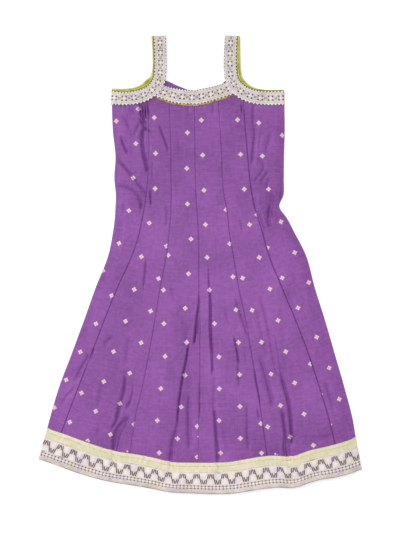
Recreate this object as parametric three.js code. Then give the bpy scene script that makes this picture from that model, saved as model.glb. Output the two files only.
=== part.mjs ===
import * as THREE from 'three';

// A child's sleeveless kurta: six flared panels in front and six behind, shoulder straps, lace tapes
// round the neck and armholes, and a gold band with a lace border at the hem. It lies flat on its
// back panels. Millimetres: +X is to the right of someone looking down at its front, +Y runs from
// the hem to the shoulders and +Z is up. The origin is under the middle of its outline.

// ---- walls and clearances ----
const CLOTH = 1.0; // wall of every cloth panel, strap and facing
const LACE = 1.0; // wall of the lace tapes, the gold band and the lace border
const GAP = 0.3; // clearance at seams and between layers
const BACK_INSET = 0.6; // the back panels' side edges lie this far inside the front's

// ---- rows and columns of the faceted walls ----
const FRONT_CELLS = 8; // across one front panel
const BACK_CELLS = 3; // across one back panel
const TAPE_STEPS = 16; // along an armhole

// ---- trims ----
const PIPING_EDGE = 0.8; // piping is this thick at its edges
const PIPING_CROWN = 1.6; // and this thick along its middle
const BAND_DEPTH = 18.2; // woven gold band at the hem
const BORDER_DEPTH = { left: 40.2, right: 41.0 }; // lace border under it, at each side seam
const NECK_LACE_SHARE = 0.87; // of the neck trim's depth; the rest is its gold piping

// ---- air between the front panels and the back panels ----
const YOKE = 285; // above this height the front lies dead flat, under the lace
const LOFT = 4.0; // how far the skirt's front panels stand off the back
const LOFT_FULL = 150; // height at which that loft is whole
const LOFT_EDGE = 42; // the loft dies away over this width at each side seam

// The flat garment across each height: its side edges, and the five seams a to e between its six
// panels. The right side pulls in at the waist.
//  y,    left,   a,      b,      c,     d,     e,     right
const SECTIONS = [
  [345, -160.0, -94.8, -55.0, -10.0, 33.4, 78.2, 151.2],
  [285, -158.4, -94.1, -54.3, -9.6, 34.0, 78.8, 151.8],
  [240, -156.6, -91.2, -52.8, -9.0, 37.0, 82.0, 152.2],
  [195, -151.9, -91.5, -51.6, -8.6, 39.4, 86.0, 151.0],
  [155, -154.0, -93.2, -51.5, -7.8, 40.6, 89.6, 150.6],
  [125, -151.3, -96.2, -51.1, -6.8, 43.6, 94.0, 149.9],
  [105, -152.0, -99.2, -51.5, -5.6, 47.6, 98.0, 142.6],
  [85, -153.2, -103.0, -52.6, -4.2, 50.4, 104.4, 155.8],
  [60, -156.4, -108.0, -54.9, -2.6, 52.8, 112.0, 169.0],
  [20, -164.2, -120.6, -59.4, -1.8, 59.6, 123.0, 189.4],
  [-40, -187.4, -147.6, -71.0, -1.6, 69.8, 147.2, 206.2],
  [-100, -208.8, -171.8, -80.8, -0.8, 82.4, 172.2, 225.0],
  [-160, -231.0, -194.8, -91.4, 0.2, 92.8, 195.0, 242.4],
  [-220, -253.6, -218.2, -103.4, -0.2, 103.2, 214.8, 259.6],
  [-280, -271.2, -241.0, -117.0, -1.4, 112.0, 232.6, 275.0],
  [-350, -289.6, -266.0, -126.6, -3.4, 121.8, 249.6, 285.4],
];
const SEAM_COLUMNS = SECTIONS[0].length - 1;

// Lower edge of the panels, where the gold band is sewn on.
//  x, y
const HEM = [
  [-290, -288], [-272, -294], [-241, -303.5], [-200, -318.5], [-155, -332.5], [-117, -338.5],
  [-76, -346.5], [-53, -352.5], [0, -354], [27, -354], [56, -352.2], [83, -347.5], [116, -342.2],
  [139, -341.2], [157, -343.4], [172, -341], [194, -332.5], [228, -324.8], [262, -315.4], [290, -306],
];

// Top edge of the front panels: underarm, strap seat, neck, strap seat, underarm.
//  x, y
const FRONT_TOP = [
  [-160, 312.0], [-135, 310.8], [-116, 312.5], [-99.5, 317.8], [-90.8, 325.3], [-65, 325.7],
  [-63.5, 321.8], [-46.8, 318.2], [-21.6, 314.6], [-9, 313.7], [-4.3, 315.3], [16.2, 319.2],
  [34.2, 324.0], [45.4, 327.7], [74.2, 327.7], [80.2, 321.4], [96.3, 314.2], [119.7, 311.6], [152, 312.4],
];

// Top edge of the back panels, a little higher all round.
//  x, y
const BACK_TOP = [
  [-160, 316.9], [-141, 317.2], [-122.4, 319.2], [-107, 325.4], [-97, 332.2], [-94.8, 334],
  [-61.2, 334], [-60, 333], [-50.9, 327], [-40, 322.6], [-29, 317.7], [-18, 313.9], [0, 311.5],
  [15, 313], [30, 318], [43, 326.5], [44.8, 334], [79, 334], [92.2, 323.7], [106, 317.4],
  [119.7, 314.3], [152, 314.8],
];

// Shoulder straps, from the seat up to the shoulder seam.
//  y, outer x, inner x
const SHOULDER = 411.8;
const FRONT_STRAPS = {
  left: [
    [326, -90.6, -64.4], [331, -86.7, -62.4], [337, -84.0, -60.9], [345, -82.7, -60.2],
    [375, -82.1, -60.0], [SHOULDER, -83.2, -61.2],
  ],
  right: [
    [328, 74.4, 46.0], [333.5, 69.8, 44.8], [341, 67.3, 43.2], [350, 66.0, 42.5],
    [368, 65.8, 42.4], [SHOULDER, 66.9, 44.8],
  ],
};
const BACK_STRAPS = {
  left: [
    [334.3, -94.4, -61.6], [345, -88.2, -60.8], [360, -86.2, -60.6], [SHOULDER, -87.4, -61.4],
  ],
  right: [
    [334.3, 78.6, 45.2], [345, 75.0, 43.6], [360, 73.3, 43.2], [SHOULDER, 71.8, 45.4],
  ],
};

// Each armhole from the shoulder down and round to the side seam. x and y follow the lace's edge;
// the lace tape lies inside it, the piping and the wider green facing of the back armhole outside.
//  x, y, tape width, piping width, facing width
const ARMHOLES = {
  left: [
    [-83.5, SHOULDER, 22.6, 3.0, 4.0], [-82.4, 380, 22.6, 3.0, 3.6], [-82.6, 350, 22.8, 3.0, 3.8],
    [-84.3, 337, 23.4, 3.0, 6.0], [-89.5, 327.5, 24.0, 3.0, 9.4], [-99.5, 319.5, 24.4, 3.0, 8.4],
    [-116, 313.7, 24.8, 3.0, 6.2], [-135, 311.8, 25.0, 3.0, 5.6], [-157.4, 313.2, 25.0, 3.0, 4.4],
  ],
  right: [
    [67.3, SHOULDER, 22.9, 3.0, 4.6], [66.3, 385, 23.4, 3.0, 6.2], [66.2, 362, 24.2, 3.0, 7.0],
    [66.6, 348, 24.4, 3.0, 7.4], [70.2, 333.5, 24.5, 3.0, 7.6], [81, 322.4, 25.0, 3.0, 6.4],
    [96.3, 315.5, 25.4, 2.8, 4.2], [119.7, 312.8, 25.8, 2.0, 2.4], [149.4, 313.7, 26.2, 1.4, 1.6],
  ],
};

// Neck trim between the two armhole tapes, as matching points on its upper and lower edges.
//  upper x, upper y, lower x, lower y
const NECK = [
  [-61.6, 322.2, -81.6, 299.6], [-54, 320.2, -69, 295.6], [-45, 318.4, -57, 291.0],
  [-33, 316.4, -42, 287.3], [-21, 315.0, -25, 286.0], [-9, 314.2, -9, 285.6], [-4.3, 315.8, -2, 285.8],
  [6, 317.6, 9, 288.4], [18, 320.2, 22, 292.0], [33, 324.2, 43, 298.2], [43.6, 327.8, 60.0, 303.8],
];

// The largest folds of the front: each is a trough between two soft shoulders that follows three
// points. It grows over the given length below its first point, and dies away above its last one.
//  x1, y1, x2, y2, x3, y3, shoulder height, trough depth, trough half-width, growth length
const FOLDS = [
  [-2, -30, -25, -190, -72, -470, 3.6, 3.6, 8, 110],
  [5, 60, 21.5, -150, 42, -470, 3.6, 3.6, 8, 120],
  [60, -130, 72, -200, 76, -470, 1.4, 1.4, 8, 60],
  [114, -50, 142, -195, 158, -470, 4.0, 4.0, 9, 120],
  [-122, -90, -135, -215, -180, -470, 3.8, 3.8, 9, 100],
  [-146, 20, -170, -120, -236, -470, 1.0, 0.8, 12, 90],
  [-100, 284, -99, 225, -94, 150, 0.6, 0.8, 7, 25],
  [95, 284, 97, 225, 92, 160, 0.6, 0.8, 7, 25],
  [128, 150, 124, 100, 150, 20, 0.9, 0.9, 8, 30],
];
const SHOULDER_SPREAD = 3.2; // a fold's shoulders reach this many times the trough's half-width

// ---- tables ----
// The row of a table at a value of its first column, on a smooth curve through its rows.
function smoothRow(table, value) {
  const rising = table[0][0] < table[table.length - 1][0];
  const rows = rising ? table : [...table].reverse();
  const last = rows.length - 1;
  let i = 0;
  while (i < last - 1 && value > rows[i + 1][0]) i += 1;
  const [low, high] = [rows[i], rows[i + 1]];
  const [before, after] = [rows[Math.max(i - 1, 0)], rows[Math.min(i + 2, last)]];
  const span = high[0] - low[0];
  const t = THREE.MathUtils.clamp((value - low[0]) / span, 0, 1);
  return low.map((start, column) => {
    const slopeIn = ((high[column] - before[column]) / (high[0] - before[0])) * span;
    const slopeOut = ((after[column] - start) / (after[0] - low[0])) * span;
    const ease = t * t * (3 - 2 * t);
    return start + (high[column] - start) * ease
      + slopeIn * t * (1 - t) ** 2 - slopeOut * t * t * (1 - t);
  });
}

// The second column of a table at a value of its first one, on straight lines.
function straight(table, value) {
  let i = 0;
  while (i < table.length - 2 && value > table[i + 1][0]) i += 1;
  const [[x0, y0], [x1, y1]] = [table[i], table[i + 1]];
  return THREE.MathUtils.lerp(y0, y1, THREE.MathUtils.clamp((value - x0) / (x1 - x0), 0, 1));
}

// A table of points with the distance walked along them put in as its first column.
function withDistance(points) {
  let walked = 0;
  return points.map((point, i) => {
    if (i > 0) walked += Math.hypot(point[0] - points[i - 1][0], point[1] - points[i - 1][1]);
    return [walked, ...point];
  });
}

// ---- the plan of the panels ----
// x on the line that lies a share of the way from one seam column of SECTIONS to the next.
function panelX(seam, share, y) {
  const row = smoothRow(SECTIONS, y);
  return THREE.MathUtils.lerp(row[seam], row[seam + 1], share);
}

// Where such a line meets an edge given as a function of x.
function meetEdge(seam, share, edge, startY) {
  let y = startY;
  for (let turn = 0; turn < 4; turn += 1) y = edge(panelX(seam, share, y));
  return [panelX(seam, share, y), y];
}

const hemY = (x) => smoothRow(HEM, x)[1];
const hemPoint = (seam, share) => meetEdge(seam, share, hemY, -320);

// The grid of one panel: its top edge, the sections between, and its hem. The sides keep half a
// gap from each seam line, or the inset where the panel ends at the side seam.
function panelGrid(seam, top, cells, sideInset) {
  const levels = SECTIONS.map((row) => row[0]).filter((y) => y <= YOKE && y >= -280);
  const columns = [];
  for (let cell = 0; cell <= cells; cell += 1) {
    const share = cell / cells;
    const atSide = (seam === 1 && cell === 0) || (seam === SEAM_COLUMNS - 1 && cell === cells);
    const inset = atSide ? sideInset : GAP / 2;
    const shift = cell === 0 ? inset : cell === cells ? -inset : 0;
    const topPoint = meetEdge(seam, share, (x) => straight(top, x), 320);
    const between = levels.map((y) => [panelX(seam, share, y), y]);
    columns.push([topPoint, ...between, hemPoint(seam, share)].map(([x, y]) => [x + shift, y]));
  }
  return columns[0].map((_, row) => columns.map((column) => column[row]));
}

// ---- heights ----
// How strongly a fold shows at a height: nothing above its first point, whole below its growth
// length, and nothing again under its last point.
function foldStrength(fold, y) {
  const [, y1, , , , y3, , , , growth] = fold;
  const { smoothstep } = THREE.MathUtils;
  return smoothstep(y1 - y, 0, growth) * smoothstep(y - y3, 0, growth);
}

function foldRise(x, y) {
  return FOLDS.reduce((rise, fold) => {
    const [x1, y1, x2, y2, x3, y3, shoulder, trough, halfWidth] = fold;
    const line = smoothRow([[y1, x1], [y2, x2], [y3, x3]], y)[1];
    const off = (x - line) / halfWidth;
    const wide = Math.exp(-((off / SHOULDER_SPREAD) ** 2));
    const narrow = Math.exp(-(off ** 2));
    return rise + foldStrength(fold, y) * (shoulder * wide - (shoulder + trough) * narrow);
  }, 0);
}

// Underside of the front layer: on the back panels, raised by its loft and its folds.
function frontUnder(x, y) {
  const lowest = CLOTH + GAP;
  if (y >= YOKE) return lowest;
  const row = smoothRow(SECTIONS, y);
  const toEdge = Math.min(x - row[1], row[SEAM_COLUMNS] - x);
  const { smoothstep } = THREE.MathUtils;
  const sides = smoothstep(toEdge, 0, LOFT_EDGE);
  const height = smoothstep(YOKE - y, 0, YOKE - LOFT_FULL);
  const yokeEase = smoothstep(YOKE - y, 0, 30);
  return Math.max(lowest, lowest + (LOFT * height + foldRise(x, y) * yokeEase) * sides);
}

const raised = (surface, by) => (x, y) => surface(x, y) + by;
const flat = (z) => () => z;
const frontTop = raised(frontUnder, CLOTH);
const laceUnder = raised(frontTop, GAP);

// ---- solids ----
// A closed wall over grid[row][column] = [x, y], between two height functions of x, y, row and column.
function wall(grid, under, over) {
  const [[x0, y0], [x1, y1]] = grid[0];
  const [x2, y2] = grid[1][0];
  const mirrored = (x1 - x0) * (y2 - y0) - (y1 - y0) * (x2 - x0) > 0;
  const rows = grid.length;
  const columns = grid[0].length;
  const positions = [];
  [under, over].forEach((height) => grid.forEach((points, row) => points.forEach(([x, y], column) => {
    positions.push(x, y, height(x, y, row, column));
  })));
  const index = [];
  const vertex = (face, row, column) => (face * rows + row) * columns + column;
  const quad = (a, b, c, d) => (mirrored ? index.push(a, c, b, a, d, c) : index.push(a, b, c, a, c, d));
  for (let row = 0; row < rows - 1; row += 1) {
    for (let column = 0; column < columns - 1; column += 1) {
      const corners = [[row, column], [row + 1, column], [row + 1, column + 1], [row, column + 1]];
      quad(...corners.map(([r, c]) => vertex(1, r, c)));
      const [a, b, c, d] = corners.map(([r, s]) => vertex(0, r, s));
      if (mirrored) index.push(a, b, c, a, c, d);
      else index.push(a, c, b, a, d, c);
    }
  }
  const rim = [];
  for (let row = 0; row < rows - 1; row += 1) rim.push([row, 0]);
  for (let column = 0; column < columns - 1; column += 1) rim.push([rows - 1, column]);
  for (let row = rows - 1; row > 0; row -= 1) rim.push([row, columns - 1]);
  for (let column = columns - 1; column > 0; column -= 1) rim.push([0, column]);
  rim.forEach(([row, column], i) => {
    const [nextRow, nextColumn] = rim[(i + 1) % rim.length];
    quad(vertex(0, row, column), vertex(0, nextRow, nextColumn),
      vertex(1, nextRow, nextColumn), vertex(1, row, column));
  });
  const geometry = new THREE.BufferGeometry();
  geometry.setAttribute('position', new THREE.Float32BufferAttribute(positions, 3));
  geometry.setIndex(index);
  geometry.computeVertexNormals();
  return geometry;
}

// A strip along an armhole: offsets is a function of the station's row that gives the distances
// from the lace's edge, positive into the garment.
function armholeGrid(side, offsets, from = 0) {
  const path = withDistance(ARMHOLES[side]);
  const inward = side === 'left' ? 1 : -1;
  const length = path[path.length - 1][0];
  const grid = [];
  for (let step = 0; step <= TAPE_STEPS; step += 1) {
    const at = THREE.MathUtils.lerp(from * length, length, step / TAPE_STEPS);
    const [, x, y, ...widths] = smoothRow(path, at);
    const [, xBefore, yBefore] = smoothRow(path, Math.max(at - 1, 0));
    const [, xAfter, yAfter] = smoothRow(path, Math.min(at + 1, length));
    const run = Math.hypot(xAfter - xBefore, yAfter - yBefore);
    const normal = [(-inward * (yAfter - yBefore)) / run, (inward * (xAfter - xBefore)) / run];
    grid.push(offsets(...widths).map((by) => [x + by * normal[0], y + by * normal[1]]));
  }
  return grid;
}

// A strip of the neck trim between two shares of its depth.
function neckGrid(from, to, cells) {
  return NECK.map(([x0, y0, x1, y1]) => {
    const points = [];
    for (let cell = 0; cell <= cells; cell += 1) {
      const share = THREE.MathUtils.lerp(from, to, cell / cells);
      points.push([THREE.MathUtils.lerp(x0, x1, share), THREE.MathUtils.lerp(y0, y1, share)]);
    }
    return points;
  });
}

// A strip of the hem border, a given distance below the panels' hem and running on down their grain.
// depth holds its depth at the left and at the right side seam.
function borderGrid(from, depth, cells, inset) {
  const top = [];
  const bottom = [];
  for (let seam = 1; seam < SEAM_COLUMNS; seam += 1) {
    for (let cell = seam === 1 ? 0 : 1; cell <= cells; cell += 1) {
      const share = cell / cells;
      const [x, y] = hemPoint(seam, share);
      const grain = [x - panelX(seam, share, y + 60), -60];
      const run = Math.hypot(...grain);
      const first = seam === 1 && cell === 0;
      const final = seam === SEAM_COLUMNS - 1 && cell === cells;
      const shift = first ? inset : final ? -inset : 0;
      const along = (by) => [x + shift + (grain[0] / run) * by, y + (grain[1] / run) * by];
      const across = (seam - 1 + share) / (SEAM_COLUMNS - 1);
      top.push(along(from));
      bottom.push(along(from + THREE.MathUtils.lerp(depth.left, depth.right, across)));
    }
  }
  return [top, bottom];
}

const strapGrid = (rows) => [...rows].reverse().map(([y, outer, inner]) => [[outer, y], [inner, y]]);

// ---- materials ----
const finish = (color, roughness, metalness = 0) => ({ color, roughness, metalness });
const PURPLE_SILK = finish(0x965fa8, 0.62);
const SILVER_LACE = finish(0xd6cbc8, 0.55, 0.1);
const LIME_SATIN = finish(0xbcbb5c, 0.5);
const GOLD_PIPING = finish(0xa08a55, 0.45, 0.2);
const GOLD_BAND = finish(0xe1dabf, 0.4, 0.2);

const garment = new THREE.Group();

function add(name, geometry, look) {
  const mesh = new THREE.Mesh(geometry, new THREE.MeshStandardMaterial(look));
  mesh.name = name;
  garment.add(mesh);
}

// ---- the kurta ----
const PANELS = [
  'side_panel_left', 'mid_panel_left', 'centre_panel_left',
  'centre_panel_right', 'mid_panel_right', 'side_panel_right',
];

PANELS.forEach((panel, i) => {
  const back = panelGrid(i + 1, BACK_TOP, BACK_CELLS, BACK_INSET);
  add(`back_${panel}`, wall(back, flat(0), flat(CLOTH)), PURPLE_SILK);
  const front = panelGrid(i + 1, FRONT_TOP, FRONT_CELLS, 0);
  add(`front_${panel}`, wall(front, frontUnder, frontTop), PURPLE_SILK);
});

['left', 'right'].forEach((side) => {
  add(`back_strap_${side}`, wall(strapGrid(BACK_STRAPS[side]), flat(0), flat(CLOTH)), PURPLE_SILK);
  add(`front_strap_${side}`, wall(strapGrid(FRONT_STRAPS[side]), frontUnder, frontTop), PURPLE_SILK);

  const facing = armholeGrid(side, (tape, piping, width) => [-width, -GAP]);
  const facingUnder = CLOTH + GAP;
  add(`armhole_facing_${side}`, wall(facing, flat(facingUnder), flat(facingUnder + CLOTH)), LIME_SATIN);

  const piping = armholeGrid(side, (tape, width) => [-width, -(width + GAP) / 2, -GAP]);
  const pipingUnder = facingUnder + CLOTH + GAP;
  const pipingOver = (x, y, row, column) => pipingUnder + (column === 1 ? PIPING_CROWN : PIPING_EDGE);
  add(`armhole_piping_${side}`, wall(piping, flat(pipingUnder), pipingOver), LIME_SATIN);

  const tape = armholeGrid(side, (width) => [0, width / 2, width]);
  add(`armhole_lace_${side}`, wall(tape, laceUnder, raised(laceUnder, LACE)), SILVER_LACE);
});

add('neck_lace', wall(neckGrid(0, NECK_LACE_SHARE, 2), laceUnder, raised(laceUnder, LACE)), SILVER_LACE);
const neckPiping = neckGrid(NECK_LACE_SHARE + 0.012, 1, 2);
const neckPipingOver = (x, y, row, column) => laceUnder(x, y) + (column === 1 ? PIPING_CROWN : PIPING_EDGE);
add('neck_piping', wall(neckPiping, laceUnder, neckPipingOver), GOLD_PIPING);

const LAYERS = [
  ['front', FRONT_CELLS, 0, frontUnder],
  ['back', BACK_CELLS, BACK_INSET, flat(0)],
];
LAYERS.forEach(([layer, cells, inset, under]) => {
  const band = borderGrid(GAP, { left: BAND_DEPTH, right: BAND_DEPTH }, cells, inset);
  add(`${layer}_hem_band`, wall(band, under, raised(under, LACE)), GOLD_BAND);
  const border = borderGrid(2 * GAP + BAND_DEPTH, BORDER_DEPTH, cells, inset);
  add(`${layer}_hem_lace`, wall(border, under, raised(under, LACE)), SILVER_LACE);
});

export default garment;
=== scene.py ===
# %% [markdown]
# # A child's panelled kurta, laid flat
# A sleeveless silk kurta lies face up on a pale table. Six flared panels make its front and six its
# back. Lace tapes edge the neck and armholes, and a gold band with a lace border finishes the hem.
# The fixed frame, packed from the CAD model, gives every piece its real size and place. This lesson
# dresses that frame: thin cloth with its creases, woven motifs, openwork lace, piping and light.

# %% Start from the fixed frame
import math

import bmesh
import bpy
import numpy as np
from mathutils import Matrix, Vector, noise
from mathutils.geometry import delaunay_2d_cdt


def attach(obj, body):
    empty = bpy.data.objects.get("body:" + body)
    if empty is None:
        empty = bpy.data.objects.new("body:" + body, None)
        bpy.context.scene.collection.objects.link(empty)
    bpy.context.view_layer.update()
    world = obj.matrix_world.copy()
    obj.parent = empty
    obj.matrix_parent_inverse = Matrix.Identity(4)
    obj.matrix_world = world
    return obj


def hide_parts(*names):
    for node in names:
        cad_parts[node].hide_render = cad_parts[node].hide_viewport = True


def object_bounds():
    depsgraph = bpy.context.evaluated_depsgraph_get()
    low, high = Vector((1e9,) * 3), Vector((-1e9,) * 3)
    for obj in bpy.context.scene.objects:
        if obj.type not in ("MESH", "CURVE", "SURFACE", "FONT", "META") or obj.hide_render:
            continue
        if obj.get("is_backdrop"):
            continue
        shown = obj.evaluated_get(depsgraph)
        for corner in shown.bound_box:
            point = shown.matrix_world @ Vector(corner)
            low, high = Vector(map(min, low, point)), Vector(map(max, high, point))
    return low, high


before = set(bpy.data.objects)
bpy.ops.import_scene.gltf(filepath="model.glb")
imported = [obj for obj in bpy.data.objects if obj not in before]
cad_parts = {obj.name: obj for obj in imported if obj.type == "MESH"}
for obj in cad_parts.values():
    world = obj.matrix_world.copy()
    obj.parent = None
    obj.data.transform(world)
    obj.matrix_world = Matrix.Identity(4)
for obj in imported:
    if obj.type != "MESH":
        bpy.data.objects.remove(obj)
cad_low, cad_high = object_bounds()
MM = 0.001
print("CAD box, mm:", [round(c / MM, 1) for c in (*cad_low, *cad_high)])

# %% [markdown]
# ## The camera
# The garment lies on a table, so the camera looks straight down at it. A long lens from about two
# metres keeps the outline true, as a product picture does. The garment's own length sets how much
# the frame takes in, and the distance follows from the lens.

# %% A camera straight above
LENS = 85.0  # mm
SENSOR = 36.0  # mm along the picture's height
LENGTH_SHARE = 0.8612  # of the picture's height that the garment's length fills
FRAME_SHIFT = -2.25 * MM  # the picture's middle lies this far from the garment's


def placed(name, data):
    """An object made of this data, linked to the scene."""
    made = bpy.data.objects.new(name, data)
    bpy.context.scene.collection.objects.link(made)
    return made


cad_size = cad_high - cad_low
cad_middle = (cad_low + cad_high) / 2
frame_height = cad_size.y / LENGTH_SHARE
camera_data = bpy.data.cameras.new("camera")
camera_data.lens = LENS
camera_data.sensor_width = SENSOR
camera = placed("camera", camera_data)
camera.location = (0.0, cad_middle.y + FRAME_SHIFT, LENS / SENSOR * frame_height)
bpy.context.scene.camera = camera
print("camera height, m:", round(camera.location.z, 3))

# %% [markdown]
# ## Colours and nodes
# Lights, table and cloth all need colours and nodes. Four small functions make them, so that later
# cells say only which node, and what feeds it.


# %% Colours, nodes and materials
def srgb(red, green, blue):
    """A colour from its screen values, 0 to 255, as the linear numbers that shaders use."""
    values = np.array([red, green, blue]) / 255.0
    linear = np.where(values <= 0.04045, values / 12.92, ((values + 0.055) / 1.055) ** 2.4)
    return (*linear.tolist(), 1.0)


def put(tree, kind, feeds=(), **settings):
    """Adds a node. feeds gives its inputs, by name or number, a value or the output that drives them."""
    node = tree.nodes.new(kind)
    for name, value in settings.items():
        setattr(node, name, value)
    for name, value in dict(feeds).items():
        if isinstance(value, bpy.types.NodeSocket):
            tree.links.new(value, node.inputs[name])
        else:
            node.inputs[name].default_value = value
    return node


def out(tree, kind, feeds=(), **settings):
    """Adds a node, and gives its first output."""
    return put(tree, kind, feeds, **settings).outputs[0]


def new_material(name, **constants):
    """A Principled material whose constant sockets are set, with its tree and its shader."""
    made = bpy.data.materials.new(name)
    made.use_nodes = True
    shader = made.node_tree.nodes["Principled BSDF"]
    for socket, value in constants.items():
        shader.inputs[socket.replace("_", " ")].default_value = value
    return made, made.node_tree, shader


# %% [markdown]
# ## Light
# Most of the light is a pale, even room light, which leaves the bottom of a fold dark on both sides.
# A broad sun from the upper left adds a little direction, so that slopes and threads still show. A
# soft lamp high over the skirt makes its middle the brightest part. The Standard view transform
# keeps the white of the table and the purple of the cloth.

# %% Soft studio light
ROOM_LIGHT = 0.805
KEY_STRENGTH = 1.0
KEY_FROM = (-0.86, 0.42, 0.68)  # towards the light
KEY_SOFTNESS = math.radians(12.0)
POOL_POWER = 11.5  # watts
POOL_AT = (-0.05, -0.08, 1.5)
POOL_SPREAD = math.radians(34.0)
POOL_SOFTNESS = 0.12  # radius of the lamp, m

world = bpy.data.worlds.new("room")
world.use_nodes = True
sky = world.node_tree.nodes["Background"].inputs
sky["Color"].default_value = (1.0, 1.0, 1.0, 1.0)
sky["Strength"].default_value = ROOM_LIGHT
bpy.context.scene.world = world
bpy.context.scene.view_settings.view_transform = "Standard"

key_data = bpy.data.lights.new("key_light", "SUN")
key_data.energy = KEY_STRENGTH
key_data.angle = KEY_SOFTNESS
key_light = placed("key_light", key_data)
key_light.rotation_euler = Vector(KEY_FROM).to_track_quat("Z", "Y").to_euler()

pool_data = bpy.data.lights.new("pool_light", "SPOT")
pool_data.energy = POOL_POWER
pool_data.spot_size = POOL_SPREAD
pool_data.spot_blend = 1.0
pool_data.shadow_soft_size = POOL_SOFTNESS
pool_light = placed("pool_light", pool_data)
pool_light.location = POOL_AT
print("lights:", key_light.name, "and", pool_light.name)

# %% [markdown]
# ## The table
# A flat painted top, nearly white, with the faintest mottle. One large square is enough, because
# nothing of its edge shows. It glows a little, as a light table does, so that the garment's own
# shadow on it stays faint. It is scenery and no part of the garment, so it is marked as backdrop.

# %% A pale table top
TABLE_SIZE = 8.0
TABLE_GLOW = 0.3
TABLE_DROP = 0.3 * MM  # the table's top lies just under the lowest thread

table_finish, tree, shader = new_material("table_paint", Roughness=0.8, Emission_Strength=TABLE_GLOW,
                                          Emission_Color=srgb(255, 255, 255))
grain = put(tree, "ShaderNodeTexNoise", {"Scale": 60.0, "Detail": 3.0})
whites = {6: srgb(250, 250, 249), 7: srgb(248, 248, 247)}
tone = put(tree, "ShaderNodeMix", {0: grain.outputs["Fac"], **whites}, data_type="RGBA")
tree.links.new(tone.outputs[2], shader.inputs["Base Color"])
table_mesh = bpy.data.meshes.new("table_top")
half = TABLE_SIZE / 2
corners = [(x, y, -TABLE_DROP) for x, y in ((-half, -half), (half, -half), (half, half), (-half, half))]
table_mesh.from_pydata(corners, [], [(0, 1, 2, 3)])
table_mesh.materials.append(table_finish)
table_top = placed("table_top", table_mesh)
table_top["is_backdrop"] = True
print("table top, m:", TABLE_SIZE)

# %% [markdown]
# ## The pattern pieces
# A dressmaker would draw each panel on paper first. The frame already holds that drawing: every
# panel is a wall, and its corners seen from above are rows of points from its top edge to its hem.
# Reading them back means that the cloth always fits the frame. Smooth curves through the rows then
# take away the flat facets.


# %% Curves
def smooth(at, knots, values):
    """Values given at rising knots, carried on a smooth curve, and straight on past both ends."""
    at, knots, values = (np.asarray(v, float) for v in (at, knots, values))
    slopes = np.gradient(values, knots)
    i = np.clip(np.searchsorted(knots, at) - 1, 0, len(knots) - 2)
    span = knots[i + 1] - knots[i]
    t = np.clip((at - knots[i]) / span, 0.0, 1.0)
    ease = t * t * (3.0 - 2.0 * t)
    inside = (values[i] + (values[i + 1] - values[i]) * ease
              + span * t * (1.0 - t) * (slopes[i] * (1.0 - t) - slopes[i + 1] * t))
    below = np.minimum(at - knots[0], 0.0) * slopes[0]
    above = np.maximum(at - knots[-1], 0.0) * slopes[-1]
    return inside + below + above


def walked_along(x, y):
    """How far each point of a line is from the first one, along the line."""
    return np.concatenate([[0.0], np.cumsum(np.hypot(np.diff(x), np.diff(y)))])


def step(value):
    """Eases from 0 to 1 as value goes from 0 to 1."""
    t = np.clip(value, 0.0, 1.0)
    return t * t * (3.0 - 2.0 * t)


# %% The plan of a panel
def corners_from_above(node):
    """The corners of a CAD wall in plan, in mm, with those that lie over each other merged."""
    bm = bmesh.new()
    bm.from_mesh(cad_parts[node].data)
    for vertex in bm.verts:
        vertex.co.z = 0.0
    bmesh.ops.remove_doubles(bm, verts=bm.verts, dist=0.02 * MM)
    points = np.array([vertex.co[:2] for vertex in bm.verts]) / MM
    bm.free()
    return points


def plan_of(node):
    """A panel's rows of plan points, its top edge first and its hem last, each from left to right."""
    points = corners_from_above(node)
    levels, counts = np.unique(np.round(points[:, 1], 1), return_counts=True)
    across = counts.max()
    levels = levels[counts == across][::-1]
    top = points[points[:, 1] > levels[0] + 1.0]
    hem = points[points[:, 1] < levels[-1] - 1.0]
    rows = [top] + [points[abs(points[:, 1] - y) < 0.1] for y in levels] + [hem]
    return [row[np.argsort(row[:, 0])] for row in rows]


# %% [markdown]
# ## A panel as curves
# A panel's edges are kept as functions, so that any layer can ask for them at any height. A panel
# that flares is cut with its grain along its middle line. Walking down that line gives the grain's
# own coordinates, which the weave and the motifs follow.

# %% A panel's edges and grain
class Panel:
    """One panel's outline: its two side edges as curves of y, and its top edge and hem across it."""

    def __init__(self, node):
        rows = plan_of(node)
        sides = np.array([[row[0], row[-1]] for row in rows])[::-1]
        self.left = lambda y: smooth(y, sides[:, 0, 1], sides[:, 0, 0])
        self.right = lambda y: smooth(y, sides[:, 1, 1], sides[:, 1, 0])
        share = np.linspace(0.0, 1.0, len(rows[0]))
        self.top = lambda s: np.interp(s, share, rows[0][:, 1])
        self.hem = lambda s: smooth(s, share, rows[-1][:, 1])
        down = np.linspace(sides[-1, 0, 1] + 20.0, sides[0, 0, 1] - 90.0, 300)
        middle = (self.left(down) + self.right(down)) / 2
        walked = walked_along(down, middle)
        lean = np.gradient(middle, walked)
        self.walk = lambda y: np.interp(-y, -down, walked)
        self.lean = lambda y: np.interp(-y, -down, lean)

    def across(self, y, share):
        """x at a share of the way from the left edge to the right one."""
        return self.left(y) + (self.right(y) - self.left(y)) * share

    def grain(self, x, y):
        """The cloth's own coordinates, in mm: across the panel, and down along its straight grain."""
        off = x - self.across(y, 0.5)
        lean = self.lean(y)
        return off * np.sqrt(1.0 - lean**2), self.walk(y) + off * lean


# %% All twelve panels
PANELS = ["side_panel_left", "mid_panel_left", "centre_panel_left",
          "centre_panel_right", "mid_panel_right", "side_panel_right"]
front_plans = [Panel("front_" + name) for name in PANELS]
back_plans = [Panel("back_" + name) for name in PANELS]
garment_left = front_plans[0].left
garment_right = front_plans[-1].right
print("chest width, mm:", round(float(garment_right(240.0) - garment_left(240.0)), 1))
print("hem width, mm:", round(float(garment_right(-300.0) - garment_left(-300.0)), 1))

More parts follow.
